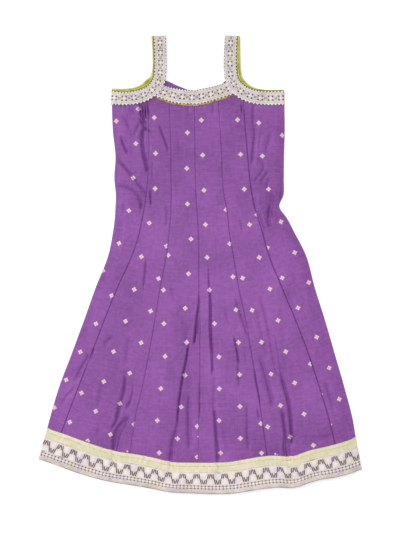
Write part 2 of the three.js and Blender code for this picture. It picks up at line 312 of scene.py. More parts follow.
# %% [markdown]
# ## The lie of the front
# The front lies on the back with a little air between them: none at the yoke, a few millimetres in
# the full skirt, and none again at the side seams. A simulation could drape it, but a height that
# is a plain function of the place is exact, and every layer above can ask for it too.

# %% Sizes of the front's lie
CLOTH = 0.6  # thickness of the cloth as modelled, mm
FRONT_FACE = 2.3  # height of the front's upper face where it lies flat
LOWEST_FACE = 1.35  # the lowest that this face can sink, resting on the back
YOKE = 293.0  # above this height the front is held flat by the lace
LOFT = 5.4
LOFT_GATHERED = 0.8  # the share of the loft that the cloth has at once, as it comes from under the lace
LOFT_FULL = 150.0  # the height at which the loft is whole
# the loft dies away at the left and at the right side seam over this width, at the chest and at the hem
LOFT_EDGES = [(24.0, 44.0), (15.0, 26.0)]
CHEST, HEM = 120.0, -200.0  # the heights between which that width grows
SIDE_ROUND = 3.0  # the front rolls over its side edges within this width
SIDE_FACE = 0.75  # and its face comes down to this height there
HEM_HOLDS = 0.7  # the share of the folds that the hem's trims take away
# the cloth's own unevenness: how much, its waves across and down, and a seed
UNEVEN = [(0.55, 55.0, 150.0, 3.7), (0.34, 21.0, 64.0, 8.1)]

# %% [markdown]
# ## Creases
# Creases are laid on that form one by one. Each follows a short path, sinks to a trough with its own
# slope on either side, and may have soft shoulders. Real ones differ in length, depth and spacing,
# so no rule makes them: they stand in a table, a cell for each part of the garment.

# %% The deep fold left of the middle seam
CREASE_POINT = 1.7  # a trough's bottom is sharp at 1 and round at 2
SHOULDER_SPREAD = 2.7  # a crease's shoulders reach this many times its own width

# path from its upper end, depth, width to the left, width to the right, shoulders, lean (1 puts them
# all on the left side, -1 on the right), fade in, fade out
CREASES = [
    ([(-1.5, -45), (-2.5, -68), (-4.8, -86), (-7, -103), (-9, -122), (-11.5, -144)],
      5.4, 1.4, 2.1, 1, 0.9, 44, 8),
    ([(-1.8, -92), (-3, -110), (-5.5, -128)], 4.8, 2.2, 3, 0, 0, 14, 8),
    ([(-8, -103), (-9, -126), (-12.5, -146)], 1.2, 1.6, 8, 0, 0, 12, 14),
    ([(-19, -137), (-21.5, -153), (-25, -175), (-28.5, -191), (-31.5, -209), (-34.5, -227), (-37, -245),
      (-39, -263), (-40, -279), (-41.5, -297)], 5.2, 2.4, 1.5, 1.1, -0.5, 14, 22),
    ([(-22.5, -103), (-23.5, -128), (-23, -151)], 2.4, 4.6, 3.2, 0, 0, 20, 8),
    ([(-39.5, -283), (-42.5, -299), (-47.5, -311), (-49.5, -326), (-51.5, -342), (-56, -387)],
      6, 4.2, 3.6, 1, -0.4, 20, 0),
    ([(-43.5, -304), (-45, -322), (-47, -347)], 2.8, 1.4, 1.4, 0, 0, 10, 10),
    ([(-19.5, -193), (-19.5, -234), (-20, -279), (-19.5, -329)], 1.8, 4.5, 5.5, 0.3, 0, 30, 10),
    ([(-19.5, -229), (-20, -265), (-19, -297), (-19, -333)], 3.8, 4.2, 5.2, 0.2, 0, 18, 8),
    ([(-1, -207), (-1, -243), (-0.5, -279)], 1.2, 1.6, 1.6, 0.2, 0, 14, 10),
]

# %% The deep fold right of the middle seam
CREASES += [
    ([(13, 23), (15.5, -5), (15.5, -27), (16.5, -45)], 3.2, 1.3, 2.4, 0.5, 0.5, 62, 10),
    ([(12.5, 5), (12.5, -36)], 0.9, 5, 5, 0, 0, 20, 20),
    ([(17, -34), (18, -56), (18.5, -85), (18, -103), (18.5, -122), (20, -144), (21.5, -166), (22, -200)],
      4.6, 1.8, 2.6, 0.9, 0.6, 20, 14),
    ([(19, -63), (20, -103), (20.5, -144), (26, -167), (26.5, -200)], 1.7, 2, 5, 0, 0, 26, 14),
    ([(26, -193), (26.5, -229), (25, -261)], 2.4, 4, 4, 0.1, 0, 14, 12),
    ([(24, -250), (26, -270), (27.5, -293), (29, -311), (30.5, -333), (32.5, -387)],
      5.2, 2.2, 3.6, 0.9, 0.3, 18, 0),
    ([(30, -315), (33, -344)], 3.2, 3.6, 3.6, 0, 0, 16, 0),
    ([(39.5, -286), (46, -311), (53, -337)], 2.6, 4.6, 4.6, 0.1, 0, 16, 8),
]

# %% Creases over the middle of the skirt
CREASES += [
    ([(60.5, -128), (64, -144), (67, -160), (69.5, -184)], 4.2, 1.7, 2.2, 0.4, 0.4, 8, 12),
    ([(62.5, -61), (69.5, -77), (75.5, -95), (81.5, -113), (87.5, -131)], 3.2, 2.8, 2.4, 0.3, 0, 14, 14),
    ([(68, -178), (70.5, -203), (71.5, -225)], 3.4, 3, 3.4, 0.2, 0, 8, 12),
    ([(85.1, -247), (86.1, -275), (86.1, -304), (88.6, -331)], 3.4, 4, 4, 0.3, 0, 18, 6),
    ([(78.4, -142), (82, -162), (87.4, -187)], 1.5, 3.5, 3.5, 0.2, 0, 16, 16),
    ([(45, -77), (48.5, -90), (51.5, -103)], 2.6, 3.6, 3.6, 0.1, 0, 8, 8),
    ([(-54, -38), (-48.5, -50), (-41.5, -61)], 1.7, 3, 3, 0.1, 0, 8, 8),
    ([(-29, -72), (-36, -85), (-44, -99)], 1.9, 3.2, 3.2, 0.1, 0, 8, 10),
    ([(60, -57), (69.4, -70), (77, -80)], 2.1, 2.2, 2.2, 0.3, 0, 10, 6),
    ([(74, 84), (76.6, 58)], 1.9, 2.6, 2.6, 0.2, 0, 10, 10),
]

# %% Creases on the skirt's right side
CREASES += [
    ([(96.5, -182), (101, -212), (105.5, -234), (108.5, -254)], 2.3, 1.6, 1.5, 0.3, 0, 22, 16),
    ([(103, -255), (105, -270), (107.5, -282)], 2.7, 1.6, 1.6, 0.1, 0, 8, 10),
    ([(108.5, -54), (114, -76), (119.5, -97), (124, -119), (128, -142), (132, -167), (137, -188),
      (141, -204)], 2.3, 3.8, 3.8, 0.5, 0, 10, 18),
    ([(103.5, -74), (108, -106), (116, -139), (124, -167)], 1.9, 4.2, 4.2, 0, 0, 14, 18),
    ([(133, -118), (137.8, -144), (140.5, -162), (143, -180), (147, -199)], 1.1, 1.8, 2.4, 0.3, 0, 12, 20),
    ([(143, -175), (147, -202), (151.5, -218), (156, -234), (159.5, -248), (161.5, -263), (163, -279),
      (164, -297), (164.5, -326)], 7, 3.2, 3.3, 1, 0.2, 46, 8),
    ([(146, -250), (148.5, -265), (151, -284), (153, -302), (155, -320), (157, -342), (160, -387)],
      5.8, 3, 3.4, 0.9, 0, 26, 0),
    ([(154.5, -308), (157.5, -344)], 3.2, 4.4, 4.6, 0, 0, 14, 0),
    ([(150, -306), (151, -346)], 4.2, 1.8, 1.8, 0, 0, 14, 0),
    ([(159.5, -312), (161, -346)], 4.2, 1.8, 1.8, 0, 0, 14, 0),
    ([(106.1, -157), (112.6, -178), (119.1, -200), (124.1, -220), (128.6, -239), (132.6, -259)],
      5.4, 5, 4, 0.5, 0, 22, 14),
    ([(131, -258), (137.8, -288), (141, -315)], 1.1, 4, 4, 0.1, 0, 14, 14),
    ([(180, -304), (191, -309), (205, -311), (223, -310), (245, -306)], 3.7, 3.6, 3.6, 0.6, 0, 14, 14),
    ([(184.6, -230), (184.6, -261), (188, -306)], 1.1, 4, 4, 0.1, 0, 20, 20),
    ([(222.5, -203), (230.5, -225), (237, -245), (242.5, -266)], 3.9, 4.4, 4.6, 0.3, 0, 16, 14),
    ([(156.5, -38), (164, -58), (174.5, -86)], 1.9, 7, 6, 0.2, 0, 16, 18),
    ([(165.5, -5), (173.5, -34)], 1.6, 5, 5, 0.1, 0, 12, 14),
    ([(147, -112), (154, -140)], 1.3, 5, 5, 0.2, 0, 10, 12),
]

# %% Creases on the skirt's left side
CREASES += [
    ([(-96, 14), (-99, -20), (-102, -48)], 2.8, 2, 3.2, 0.4, 0.3, 14, 16),
    ([(-125.5, -128), (-127.5, -146), (-130.5, -167), (-131.5, -189)], 2.4, 5.5, 5, 0.3, 0, 12, 20),
    ([(-132.5, -189), (-134.5, -207), (-136, -223), (-139.5, -238), (-143.5, -250), (-146.5, -265),
      (-151, -281), (-157.5, -293), (-161, -302)], 4.6, 2.8, 3.4, 0.8, 0, 24, 14),
    ([(-142, -245), (-147, -263), (-150.5, -279)], 3.2, 3.6, 3.4, 0, 0, 8, 12),
    ([(-119, -207), (-120.5, -225), (-123, -239), (-127, -250), (-133, -260)],
      2.4, 1.9, 2.1, 0.3, 0, 26, 6),
    ([(-124, -241), (-129, -250), (-134, -257)], 2.4, 2.4, 2.4, 0.2, 0, 4, 6),
    ([(-125, -270), (-132.5, -278), (-141, -286), (-148.5, -295), (-152, -306), (-154, -320),
      (-156.5, -342), (-158.5, -387)], 7.2, 3.8, 2.6, 1.1, 0, 10, 0),
    ([(-126.5, -275), (-134, -284), (-142, -292.5), (-147, -301), (-149.8, -313), (-151.5, -326)],
      5.4, 2, 2, 0, 0, 8, 16),
    ([(-123, -274), (-130, -285), (-137, -294), (-142.5, -303), (-145.5, -314), (-148, -325),
      (-151, -340)], 3.1, 1.5, 1.5, 0, 0, 10, 10),
    ([(-190.5, -148), (-193.5, -162), (-198.5, -178)], 3.6, 2.2, 2, 0.3, 0, 8, 10),
    ([(-196.5, -158), (-204, -171), (-211.5, -184), (-218.5, -198), (-224, -211)],
      4.4, 4, 3.8, 0.7, 0.2, 10, 14),
    ([(-223, -216), (-230, -227), (-239, -234), (-245.5, -245), (-249, -257)],
      2.4, 2.4, 3.2, 0.3, 0, 8, 12),
    ([(-156.5, -128), (-165.5, -138), (-176.5, -148)], 3.8, 4.4, 4.2, 0.3, 0, 7, 10),
    ([(-138.5, -112), (-127, -105), (-114.5, -99)], 2, 1.8, 1.8, 0.2, 0, 6, 8),
    ([(-149.5, -59), (-160, -106)], 1.3, 12, 12, 0, 0, 20, 20),
    ([(-175.5, -203), (-177, -232), (-184.5, -257)], 2.2, 4.6, 4.6, 0.1, 0, 18, 14),
    ([(-179, -290), (-186, -308)], 2.6, 4, 4, 0.1, 0, 8, 8),
    ([(-85, -220), (-89, -270), (-94, -345), (-97, -420)], 0.9, 7, 7, 0.2, 0, 40, 0),
]

# %% Creases on the left side of the bodice
CREASES += [
    ([(-109, 264), (-104, 255), (-99.5, 247), (-94.5, 240)], 6.8, 2.4, 2.2, 1.6, 0, 8, 5),
    ([(-105, 267), (-100, 259), (-96.5, 250)], 6, 1.8, 1.8, 0, 0, 5, 5),
    ([(-96, 244), (-90, 240), (-81, 235)], 3.2, 2, 2, 0.4, 0, 4, 8),
    ([(-103.5, 293), (-102.5, 277), (-101.5, 263), (-98, 248)], 6, 1.8, 1.8, 0.8, 0, 3, 8),
    ([(-109, 291), (-107, 275), (-105, 263)], 5.4, 1.8, 1.8, 0.5, 0, 4, 6),
    ([(-98, 293), (-98, 275), (-97.5, 258)], 5.4, 1.6, 1.6, 0.5, 0, 3, 10),
    ([(-118, 286), (-120, 277), (-116.5, 268)], 3.8, 6, 5, 1.2, 0, 4, 8),
    ([(-102.5, 247), (-104, 232), (-103.5, 214), (-101.5, 202), (-98.5, 189), (-95.5, 176), (-94, 160)],
      8, 2.8, 3.1, 1.7, 0.2, 8, 16),
    ([(-107, 257), (-112.5, 245), (-117.5, 234), (-121.5, 227)], 3, 2.8, 2.8, 0.8, 0, 8, 8),
    ([(-142.5, 234), (-139.5, 223), (-135, 211), (-128, 196)], 4.4, 2.6, 2.3, 1.2, 0, 10, 10),
    ([(-136, 235), (-128.5, 213)], 1.5, 1.6, 1.6, 0.1, 0, 8, 10),
    ([(-149.5, 192), (-142, 183), (-135, 176), (-128, 168), (-119.5, 157)], 4, 2.8, 2.8, 1.4, 0, 6, 8),
    ([(-121.5, 163), (-114.5, 151), (-107.5, 141), (-100, 132), (-93.5, 124)], 3.6, 2.6, 2.8, 0.9, 0, 8, 8),
    ([(-149.5, 141), (-138.5, 141), (-128, 139), (-118, 132), (-110, 123), (-105.5, 111), (-106, 95)],
      3.2, 2.8, 3, 1, 0, 8, 12),
    ([(-107.5, 114), (-105.5, 104), (-107, 90)], 1.3, 2.6, 2.6, 0, 0, 8, 8),
    ([(-137.6, 114), (-136.7, 88)], 2.5, 2.6, 2.6, 0.2, 0, 8, 10),
    ([(-89, 134), (-89, 118), (-87.2, 104)], 3.6, 1.8, 1.8, 0.3, 0, 6, 8),
    ([(-93, 133), (-85, 131.5)], 2, 2, 2, 0, 0, 3, 3),
    ([(-143, 86), (-143, 60), (-147, 28)], 2.9, 5, 4, 0.2, 0, 14, 16),
    ([(-74.5, 256), (-69.2, 239.5), (-63.8, 225), (-58.4, 209), (-54.8, 200)], 3.2, 1.8, 2, 0.3, 0, 12, 12),
    ([(-94.6, 298), (-93.4, 282), (-91.5, 268), (-90, 256)], 3.6, 1.5, 1.5, 0.2, 0, 4, 20),
    ([(-83.6, 189), (-85.4, 168), (-83.6, 150)], 1.8, 2.8, 2.8, 0.2, 0, 12, 12),
    ([(-60.5, 108), (-58.4, 90), (-61, 66)], 2.5, 3, 2.5, 0.3, 0, 10, 10),
    ([(-65, 117), (-68.5, 104)], 1.3, 2.6, 2.6, 0.1, 0, 6, 6),
    ([(-36.8, 234), (-37, 205), (-33, 190)], 1, 5, 5, 0.1, 0, 14, 14),
    ([(-143.5, 271), (-135.5, 263), (-129, 252), (-123.5, 239), (-121, 227)], 2.6, 2.8, 2.8, 0.9, 0, 8, 8),
]

# %% Creases on the right side of the bodice
CREASES += [
    ([(96.4, 292), (95.4, 275), (95.4, 259), (96.9, 241)], 2.5, 3.2, 4.2, 0.5, 0, 3, 10),
    ([(98, 292), (98, 272), (97.5, 250)], 2, 2.6, 9, 0, 0, 6, 12),
    ([(97.8, 254), (98.8, 241), (97.8, 223), (96.3, 209), (94.8, 193), (92.8, 173)],
      4, 3.2, 4.4, 0.6, 0, 10, 18),
    ([(110.5, 241), (107.5, 223), (106, 205)], 1.7, 2.2, 2.2, 0.2, 0, 8, 8),
    ([(91, 178), (92, 160), (94.5, 142)], 2.2, 2.8, 3, 0.2, 0, 8, 8),
    ([(127, 242), (125, 227), (121.5, 213), (118, 200)], 3.4, 3.6, 6, 0, 0, 12, 8),
    ([(101.5, 189), (110, 186), (115, 179), (114, 171), (105.5, 159), (94.5, 146)],
      2.9, 2.8, 2.8, 0.5, 0, 6, 8),
    ([(124, 170), (116, 158), (107.5, 146)], 2.6, 2.8, 2.8, 0.7, 0, 6, 8),
    ([(124, 155), (121.5, 146), (119, 135)], 2.4, 2.2, 2.2, 0.3, 0, 4, 6),
    ([(129.7, 135), (131.2, 117), (129.2, 99), (128.2, 83)], 4, 9, 2, 1.6, -0.7, 12, 8),
    ([(126.7, 108), (125.7, 92), (124.2, 76), (127.2, 63)], 3.8, 5, 2.6, 0.8, -0.4, 10, 8),
    ([(103.5, 130), (108.5, 106), (114.5, 83), (126, 59)], -0.8, 3, 3, 0, 0, 12, 14),
    ([(105.5, 100), (107.5, 90), (111, 78), (115, 66), (120, 54)], 2.7, 2.2, 2.2, 0.2, 0, 12, 14),
    ([(147, 160), (148.5, 142), (145, 124), (139.5, 108)], 3.8, 4, 5, 1.3, 0, 12, 12),
    ([(77, 170), (76, 150)], 1.1, 3, 3, 0.1, 0, 8, 8),
    ([(75, 243), (78, 206)], 1, 1.6, 1.6, 0, 0, 12, 12),
]

# %% Tucks where the neck trim gathers the cloth
CREASES += [
    ([(74.8, 300), (74.8, 284), (75.2, 268)], 3.4, 1.5, 1.5, 0.2, 0, 4, 12),
    ([(22.6, 300), (23.8, 282), (24.6, 266)], 2.5, 2.6, 2.6, 0.2, 0, 4, 12),
    ([(-20.5, 292), (-20.5, 268)], 1.9, 2.6, 2.6, 0.2, 0, 4, 14),
    ([(-32, 292), (-33, 276)], 1.2, 3, 3, 0.2, 0, 4, 9),
    ([(45, 300), (47, 280)], 1.2, 3, 3, 0.2, 0, 4, 12),
    ([(-72, 301), (-72, 281)], 1.1, 3, 3, 0.1, 0, 4, 8),
    ([(-142.5, 290), (-141, 279)], 2, 1.6, 1.6, 0.2, 0, 1, 4),
    ([(-134, 290), (-132.5, 278)], 2.2, 1.8, 1.8, 0.2, 0, 1, 4),
    ([(-126, 290), (-125, 279)], 1.8, 1.6, 1.6, 0.2, 0, 1, 4),
    ([(5, 290), (6, 274)], 1, 3, 3, 0.2, 0, 4, 9),
]
print("creases in front:", len(CREASES))

# %% [markdown]
# ## From a path to a trough
# A crease needs two things at each place: how far off its path the place lies, and how far down the
# path. The path is smoothed, cut into short straight runs, and the nearest run gives both.


# %% How far a place lies from a path
def along(path, x, y):
    """How far points lie from a path, in mm, positive on its right side as seen from above, and how
    far down the path their nearest spot is, with the path's length."""
    knots = np.array(path, float)
    walked = walked_along(*knots.T)
    fine = np.linspace(0.0, walked[-1], 2 + int(walked[-1] / 9.0))
    line = np.stack([smooth(fine, walked, knots[:, 0]), smooth(fine, walked, knots[:, 1])], 1)
    nearest = np.full(x.shape, np.inf)
    signed = np.zeros(x.shape)
    place = np.zeros(x.shape)
    for k, ((x0, y0), (x1, y1)) in enumerate(zip(line[:-1], line[1:])):
        run = math.hypot(x1 - x0, y1 - y0)
        t = np.clip(((x - x0) * (x1 - x0) + (y - y0) * (y1 - y0)) / run**2, 0.0, 1.0)
        off = np.hypot(x - x0 - t * (x1 - x0), y - y0 - t * (y1 - y0))
        side = np.sign((x1 - x0) * (y - y0) - (y1 - y0) * (x - x0))
        closer = off < nearest
        nearest = np.where(closer, off, nearest)
        signed = np.where(closer, off * side, signed)
        place = np.where(closer, fine[k] + t * run, place)
    return signed, place, walked[-1]


# %% The height that creases add
def crease_rise(x, y, creases):
    """The height that a list of creases adds at each place."""
    rise = np.zeros(x.shape)
    for path, depth, left, right, shoulders, lean, fade_in, fade_out in creases:
        knots = np.array(path, float)
        reach = 2.5 * SHOULDER_SPREAD * max(left, right)
        near = ((x > knots[:, 0].min() - reach) & (x < knots[:, 0].max() + reach)
                & (y > knots[:, 1].min() - reach) & (y < knots[:, 1].max() + reach))
        off, place, length = along(path, x[near], y[near])
        width = np.where(off < 0.0, left, right)
        strength = step(place / fade_in)
        if fade_out:
            strength = strength * step((length - place) / fade_out)
        trough = np.exp(-(np.abs(off) / width) ** CREASE_POINT)
        wide = np.exp(-(off / (SHOULDER_SPREAD * (left + right) / 2)) ** 2)
        wide = wide * (1.0 - lean * np.tanh(off / 3.0))
        rise[near] += strength * (shoulders * wide - (depth + shoulders) * trough)
    return rise


def ripple(x, y, across, down, seed):
    """A smooth random surface between about -1 and 1, with waves of these sizes in mm."""
    flat_x, flat_y = x.ravel() / across, y.ravel() / down
    values = [noise.noise((a, b, seed)) for a, b in zip(flat_x.tolist(), flat_y.tolist())]
    return 1.6 * np.array(values).reshape(x.shape)


# %% [markdown]
# ## The face of the front
# Everything comes together in one height: the loft, the unevenness, the creases, the flat yoke, the
# stiff hem, and the roll over the side edges. Where it would sink into the back, it settles softly.

# %% Height of the front's face
hem_points = []
for plan in front_plans:
    for share in (0.1, 0.3, 0.5, 0.7, 0.9):
        hem_points.append((plan.across(plan.hem(share), share), plan.hem(share)))
hem_points = np.array(hem_points)


def hem_height(x):
    """y of the panels' lower edge at each x."""
    return smooth(x, hem_points[:, 0], hem_points[:, 1])


def front_face(x, y):
    """Height in mm of the front's upper face."""
    to_left, to_right = x - garment_left(y), garment_right(y) - x
    to_side = np.minimum(to_left, to_right)
    grown_by = step((CHEST - y) / (CHEST - HEM))
    sides = 1.0
    for off, (at_chest, at_hem) in zip((to_left, to_right), LOFT_EDGES):
        sides = sides * step(off / (at_chest + (at_hem - at_chest) * grown_by))
    below_yoke = step((YOKE + 3.0 - y) / 7.0)
    gathered, full = step((YOKE - y) / 12.0), step((YOKE - y) / (YOKE - LOFT_FULL))
    loft = LOFT * (LOFT_GATHERED * gathered + (1.0 - LOFT_GATHERED) * full)
    below_hem = hem_height(x) - y
    loose = 1.0 - HEM_HOLDS * step((below_hem + 7.0) / 12.0)
    soft = sum(much * ripple(x, y, *waves) for much, *waves in UNEVEN)
    folds = soft * (0.35 + 0.65 * sides) * loose + crease_rise(x, y, CREASES) * loose
    rise = loft * sides + folds * below_yoke * step(to_side / 6.0)
    room = FRONT_FACE - LOWEST_FACE
    settled = np.where(rise < 0.0, room * np.tanh(rise / room), rise)
    roll = np.clip(1.0 - to_side / SIDE_ROUND, 0.0, 1.0)
    return FRONT_FACE + settled - (FRONT_FACE - SIDE_FACE) * (1.0 - np.sqrt(1.0 - roll**2))


sample_x, sample_y = np.meshgrid(np.linspace(-200.0, 200.0, 60), np.linspace(-340.0, 300.0, 60))
heights = front_face(sample_x, sample_y)
print("front face height, mm:", round(heights.min(), 2), "to", round(heights.max(), 2))

# %% [markdown]
# ## Cutting the panels
# Every panel becomes a grid with a second layer under it and a rim, so that it is a thin closed
# shell like real cloth. A Solidify modifier could do that, but here both faces and the rim are
# wanted exactly. The shell's own UV map, in metres, runs across and down the straight grain: the
# weave then leans with each flared panel, as it does when a panel is cut along its middle.


# %% Thin shells from grids
def shell_piece(name, x, y, z, thickness, uv, outward=1.0):
    """A closed thin shell on a grid of rows and columns, in mm. outward is 1 where its face looks up."""
    rows, columns = x.shape
    face = np.stack([x, y, z], -1).reshape(-1, 3)
    inner = face - [0.0, 0.0, outward * thickness]
    vertices = np.concatenate([face, inner]) * MM
    index = np.arange(rows * columns).reshape(rows, columns)
    a, b, c, d = index[:-1, :-1], index[1:, :-1], index[1:, 1:], index[:-1, 1:]
    upper = np.stack([a, b, c, d], -1).reshape(-1, 4)
    lower = upper[:, ::-1] + rows * columns
    rim = np.concatenate([index[:-1, 0], index[-1, :-1], index[:0:-1, -1], index[0, :0:-1]])
    after = np.roll(rim, -1)
    wall = np.stack([rim, rim + rows * columns, after + rows * columns, after], -1)
    faces = np.concatenate([upper, lower, wall])
    lifted = face[upper[0]]
    turn = np.cross(lifted[1] - lifted[0], lifted[3] - lifted[0])[2]
    if turn * outward < 0.0:
        faces = faces[:, ::-1]
    mesh = bpy.data.meshes.new(name)
    mesh.from_pydata(vertices.tolist(), [], faces.tolist())
    layer = mesh.uv_layers.new(name="grain")
    both = np.concatenate([uv.reshape(-1, 2), uv.reshape(-1, 2)]) * MM
    layer.uv.foreach_set("vector", both[faces.ravel()].astype(np.float32).ravel())
    mesh.shade_smooth()
    mesh.set_sharp_from_angle(angle=math.radians(60.0))
    return placed(name, mesh)


# %% [markdown]
# ## Closer columns where the cloth bends
# A plain even grid would need very many columns to show a crease three millimetres wide. So the
# columns crowd at the seams, where the cloth turns down into the stitching, and along the creases.

# %% Grids that crowd at seams and creases
SEAM_CLOSE = 0.17  # the frame's panels are this far from their seam line, and sewn cloth isn't
SEAM_REACH = 2.6  # columns lie closer together within this distance of a seam, mm
FOLD_REACH = 4.2  # and within this distance of a crease
SEAM_CROWD = 4.0  # how much closer they lie at a seam
FOLD_CROWD = 3.6  # and at most at a crease
FOLD_ENDS = 30.0  # the crowding fades away within this distance of a crease's ends
FINE = 480  # samples across a panel that the columns are shared out by


def closeness(x, y, to_left, to_right, creases):
    """How many times closer than usual the columns lie at each place."""
    close = 1.0
    for off in (to_left, to_right):
        close = close + SEAM_CROWD * np.exp(-((off / SEAM_REACH) ** 2))
    for path, depth, *_ in creases:
        knots = np.array(path, float)[::-1]
        at = np.interp(y, knots[:, 1], knots[:, 0])
        beyond = np.maximum(knots[0, 1] - y, y - knots[-1, 1])
        here = step(1.0 - beyond / FOLD_ENDS) * np.exp(-(((x - at) / FOLD_REACH) ** 2))
        close += min(abs(depth), FOLD_CROWD) * here
    return close


def panel_grid(plan, row_count, column_count, creases):
    """x, y, the distance from each side edge, and the grain coordinates, over a panel's grid."""
    down = np.linspace(0.0, 1.0, row_count)[:, None]
    fine = np.linspace(0.0, 1.0, FINE)[None, :]
    y = plan.top(0.5) + (plan.hem(0.5) - plan.top(0.5)) * down + 0.0 * fine
    x = plan.across(y, fine)
    close = closeness(x, y, x - x[:, :1], x[:, -1:] - x, creases)
    counted = np.cumsum((close[:, 1:] + close[:, :-1]) / 2, axis=1)
    counted = np.concatenate([np.zeros((row_count, 1)), counted / counted[:, -1:]], 1)
    even = np.linspace(0.0, 1.0, column_count)
    share = np.array([np.interp(even, row, fine[0]) for row in counted])
    y = plan.top(share) + (plan.hem(share) - plan.top(share)) * down
    width = plan.right(y) - plan.left(y)
    x = plan.across(y, share) + SEAM_CLOSE * (2.0 * share - 1.0)
    grain = np.stack(plan.grain(x, y), -1)
    return x, y, width * share, width * (1.0 - share), grain


# %% [markdown]
# ## Front panels
# Six separate panels, sewn edge to edge. At a seam both edges turn down sharply, and the thin dark
# line between them is real depth and not paint. Small puckers along the stitching rise and fall
# with the needle's pull.

# %% Front panels
SEAM_DEPTH = 1.4
SEAM_WIDTH = 1.05
PUCKER = 0.22
PUCKER_REACH = 4.5
FRONT_GRID = (220, 104, 64)  # rows, columns of a panel, columns of a narrow side panel
SEAM_AT = (280.0, 60.0, -300.0)  # heights of the yoke, the waist and the hem
# how strongly each seam shows there, from left to right
SEAMS = [(0.7, 1.2, 1.5), (0.8, 1.0, 0.9), (0.9, 1.0, 0.8), (0.9, 1.1, 1.2), (1.3, 1.6, 1.6)]


def seam_turn(off_left, off_right, y, panel):
    """How far a panel sinks into its seams, with the puckers beside them."""
    sink = np.zeros(off_left.shape)
    for off, seam in ((off_left, panel - 1), (off_right, panel)):
        if 0 <= seam < len(SEAMS):
            shows = np.interp(-y, [-height for height in SEAM_AT], SEAMS[seam])
            wave = ripple(off * 0.0 + seam * 10.0, y, 9.0, 11.0, 1.7 + seam)
            sink += shows * SEAM_DEPTH * np.exp(-((off / SEAM_WIDTH) ** 2))
            sink -= PUCKER * wave * np.exp(-((off / PUCKER_REACH) ** 2))
    return sink


front_pieces = []
for i, (name, plan) in enumerate(zip(PANELS, front_plans)):
    columns = FRONT_GRID[1] if 0 < i < 5 else FRONT_GRID[2]
    x, y, off_left, off_right, grain = panel_grid(plan, FRONT_GRID[0], columns, CREASES)
    z = front_face(x, y) - seam_turn(off_left, off_right, y, i)
    front_pieces.append(shell_piece("front_" + name + "_silk", x, y, z, CLOTH, grain))


def face_count(pieces):
    """How many faces some pieces have together."""
    return sum(len(piece.data.polygons) for piece in pieces)


print("front panels:", len(front_pieces), "with", face_count(front_pieces), "faces")

# %% [markdown]
# ## Armhole edges
# The lace tape's edge follows each armhole. Just outside it lies a lime piping, and beyond that the
# facing of the back armhole shows, because the back is cut a little wider. One table per armhole
# gives a few stations with their widths, and every strip along the armhole is an offset from it.

# %% Stations along the armholes
# x, y, tape width, piping width, facing width
ARMHOLES = {
    "left": [
        (-83.5, 411.8, 22.6, 3.0, 4.0), (-82.4, 380, 22.6, 3.0, 3.6), (-82.6, 350, 22.8, 3.0, 3.8),
        (-84.3, 337, 23.4, 3.0, 6.0), (-89.5, 327.5, 24.0, 3.0, 9.4), (-99.5, 319.5, 24.4, 3.0, 8.4),
        (-116, 313.7, 24.8, 3.0, 6.2), (-135, 311.8, 25.0, 3.0, 5.6), (-158.6, 313.2, 25.0, 3.0, 4.4),
    ],
    "right": [
        (67.3, 411.8, 22.9, 3.0, 4.6), (66.3, 385, 23.4, 3.0, 6.2), (66.2, 362, 24.2, 3.0, 7.0),
        (66.6, 348, 24.4, 3.0, 7.4), (70.2, 333.5, 24.5, 3.0, 7.6), (81, 322.4, 25.0, 3.0, 6.4),
        (96.3, 315.5, 25.4, 2.8, 4.2), (119.7, 312.8, 25.8, 2.0, 2.4), (150.6, 313.7, 26.2, 1.4, 1.6),
    ],
}


# %% The armhole lines
class ArmholeLine:
    """Stations along an armhole, from the shoulder to the side seam, with their inward normals."""

    def __init__(self, side, count):
        table = np.array(ARMHOLES[side], float)
        walked = walked_along(*table.T[:2])
        self.at = np.linspace(0.0, walked[-1], count)
        self.x, self.y, self.tape, self.piping, self.facing = (smooth(self.at, walked, c) for c in table.T)
        turn = np.gradient(self.y, self.at), np.gradient(self.x, self.at)
        inward = 1.0 if side == "left" else -1.0
        run = np.hypot(*turn)
        self.normal_x, self.normal_y = -inward * turn[0] / run, inward * turn[1] / run

    def strip(self, offsets):
        """x and y of a grid of offsets, in mm into the garment, a row for each station."""
        x = self.x[:, None] + offsets * self.normal_x[:, None]
        return x, self.y[:, None] + offsets * self.normal_y[:, None]

    def grain(self, offsets):
        """The coordinates of a strip's own weave, in mm: across it and along it."""
        return np.stack(np.broadcast_arrays(offsets, self.at[:, None]), -1)


armhole_lines = {side: ArmholeLine(side, 180) for side in ARMHOLES}
print("armholes, mm:", {side: round(float(line.at[-1]), 1) for side, line in armhole_lines.items()})

# %% [markdown]
# ## Keeping the back under the facing
# The back's own armhole edge is hidden under the facing. Where it would show beyond the facing's
# outer edge, its points are drawn back under it, so that no purple sliver is left.

# %% Draw a layer in under the facing
FACING_COVER = 1.2  # the back's edge lies this far inside the facing's outer edge


def under_facing(x, y):
    """Moves what would show beyond a facing's outer edge back under it."""
    for line in armhole_lines.values():
        away = np.hypot(x[..., None] - line.x, y[..., None] - line.y)
        near = away.argmin(-1)
        off = (x - line.x[near]) * line.normal_x[near] + (y - line.y[near]) * line.normal_y[near]
        over = np.clip(FACING_COVER - line.facing[near] - off, 0.0, None) * (away.min(-1) < 25.0)
        x, y = x + over * line.normal_x[near], y + over * line.normal_y[near]
    return x, y


# %% [markdown]
# ## Back panels
# The back lies on the table, so it is flat underneath wherever it rests. A few soft troughs rise
# from below between those places, and the seams are there again. It shows only from low down, so
# its grid is coarser than the front's.

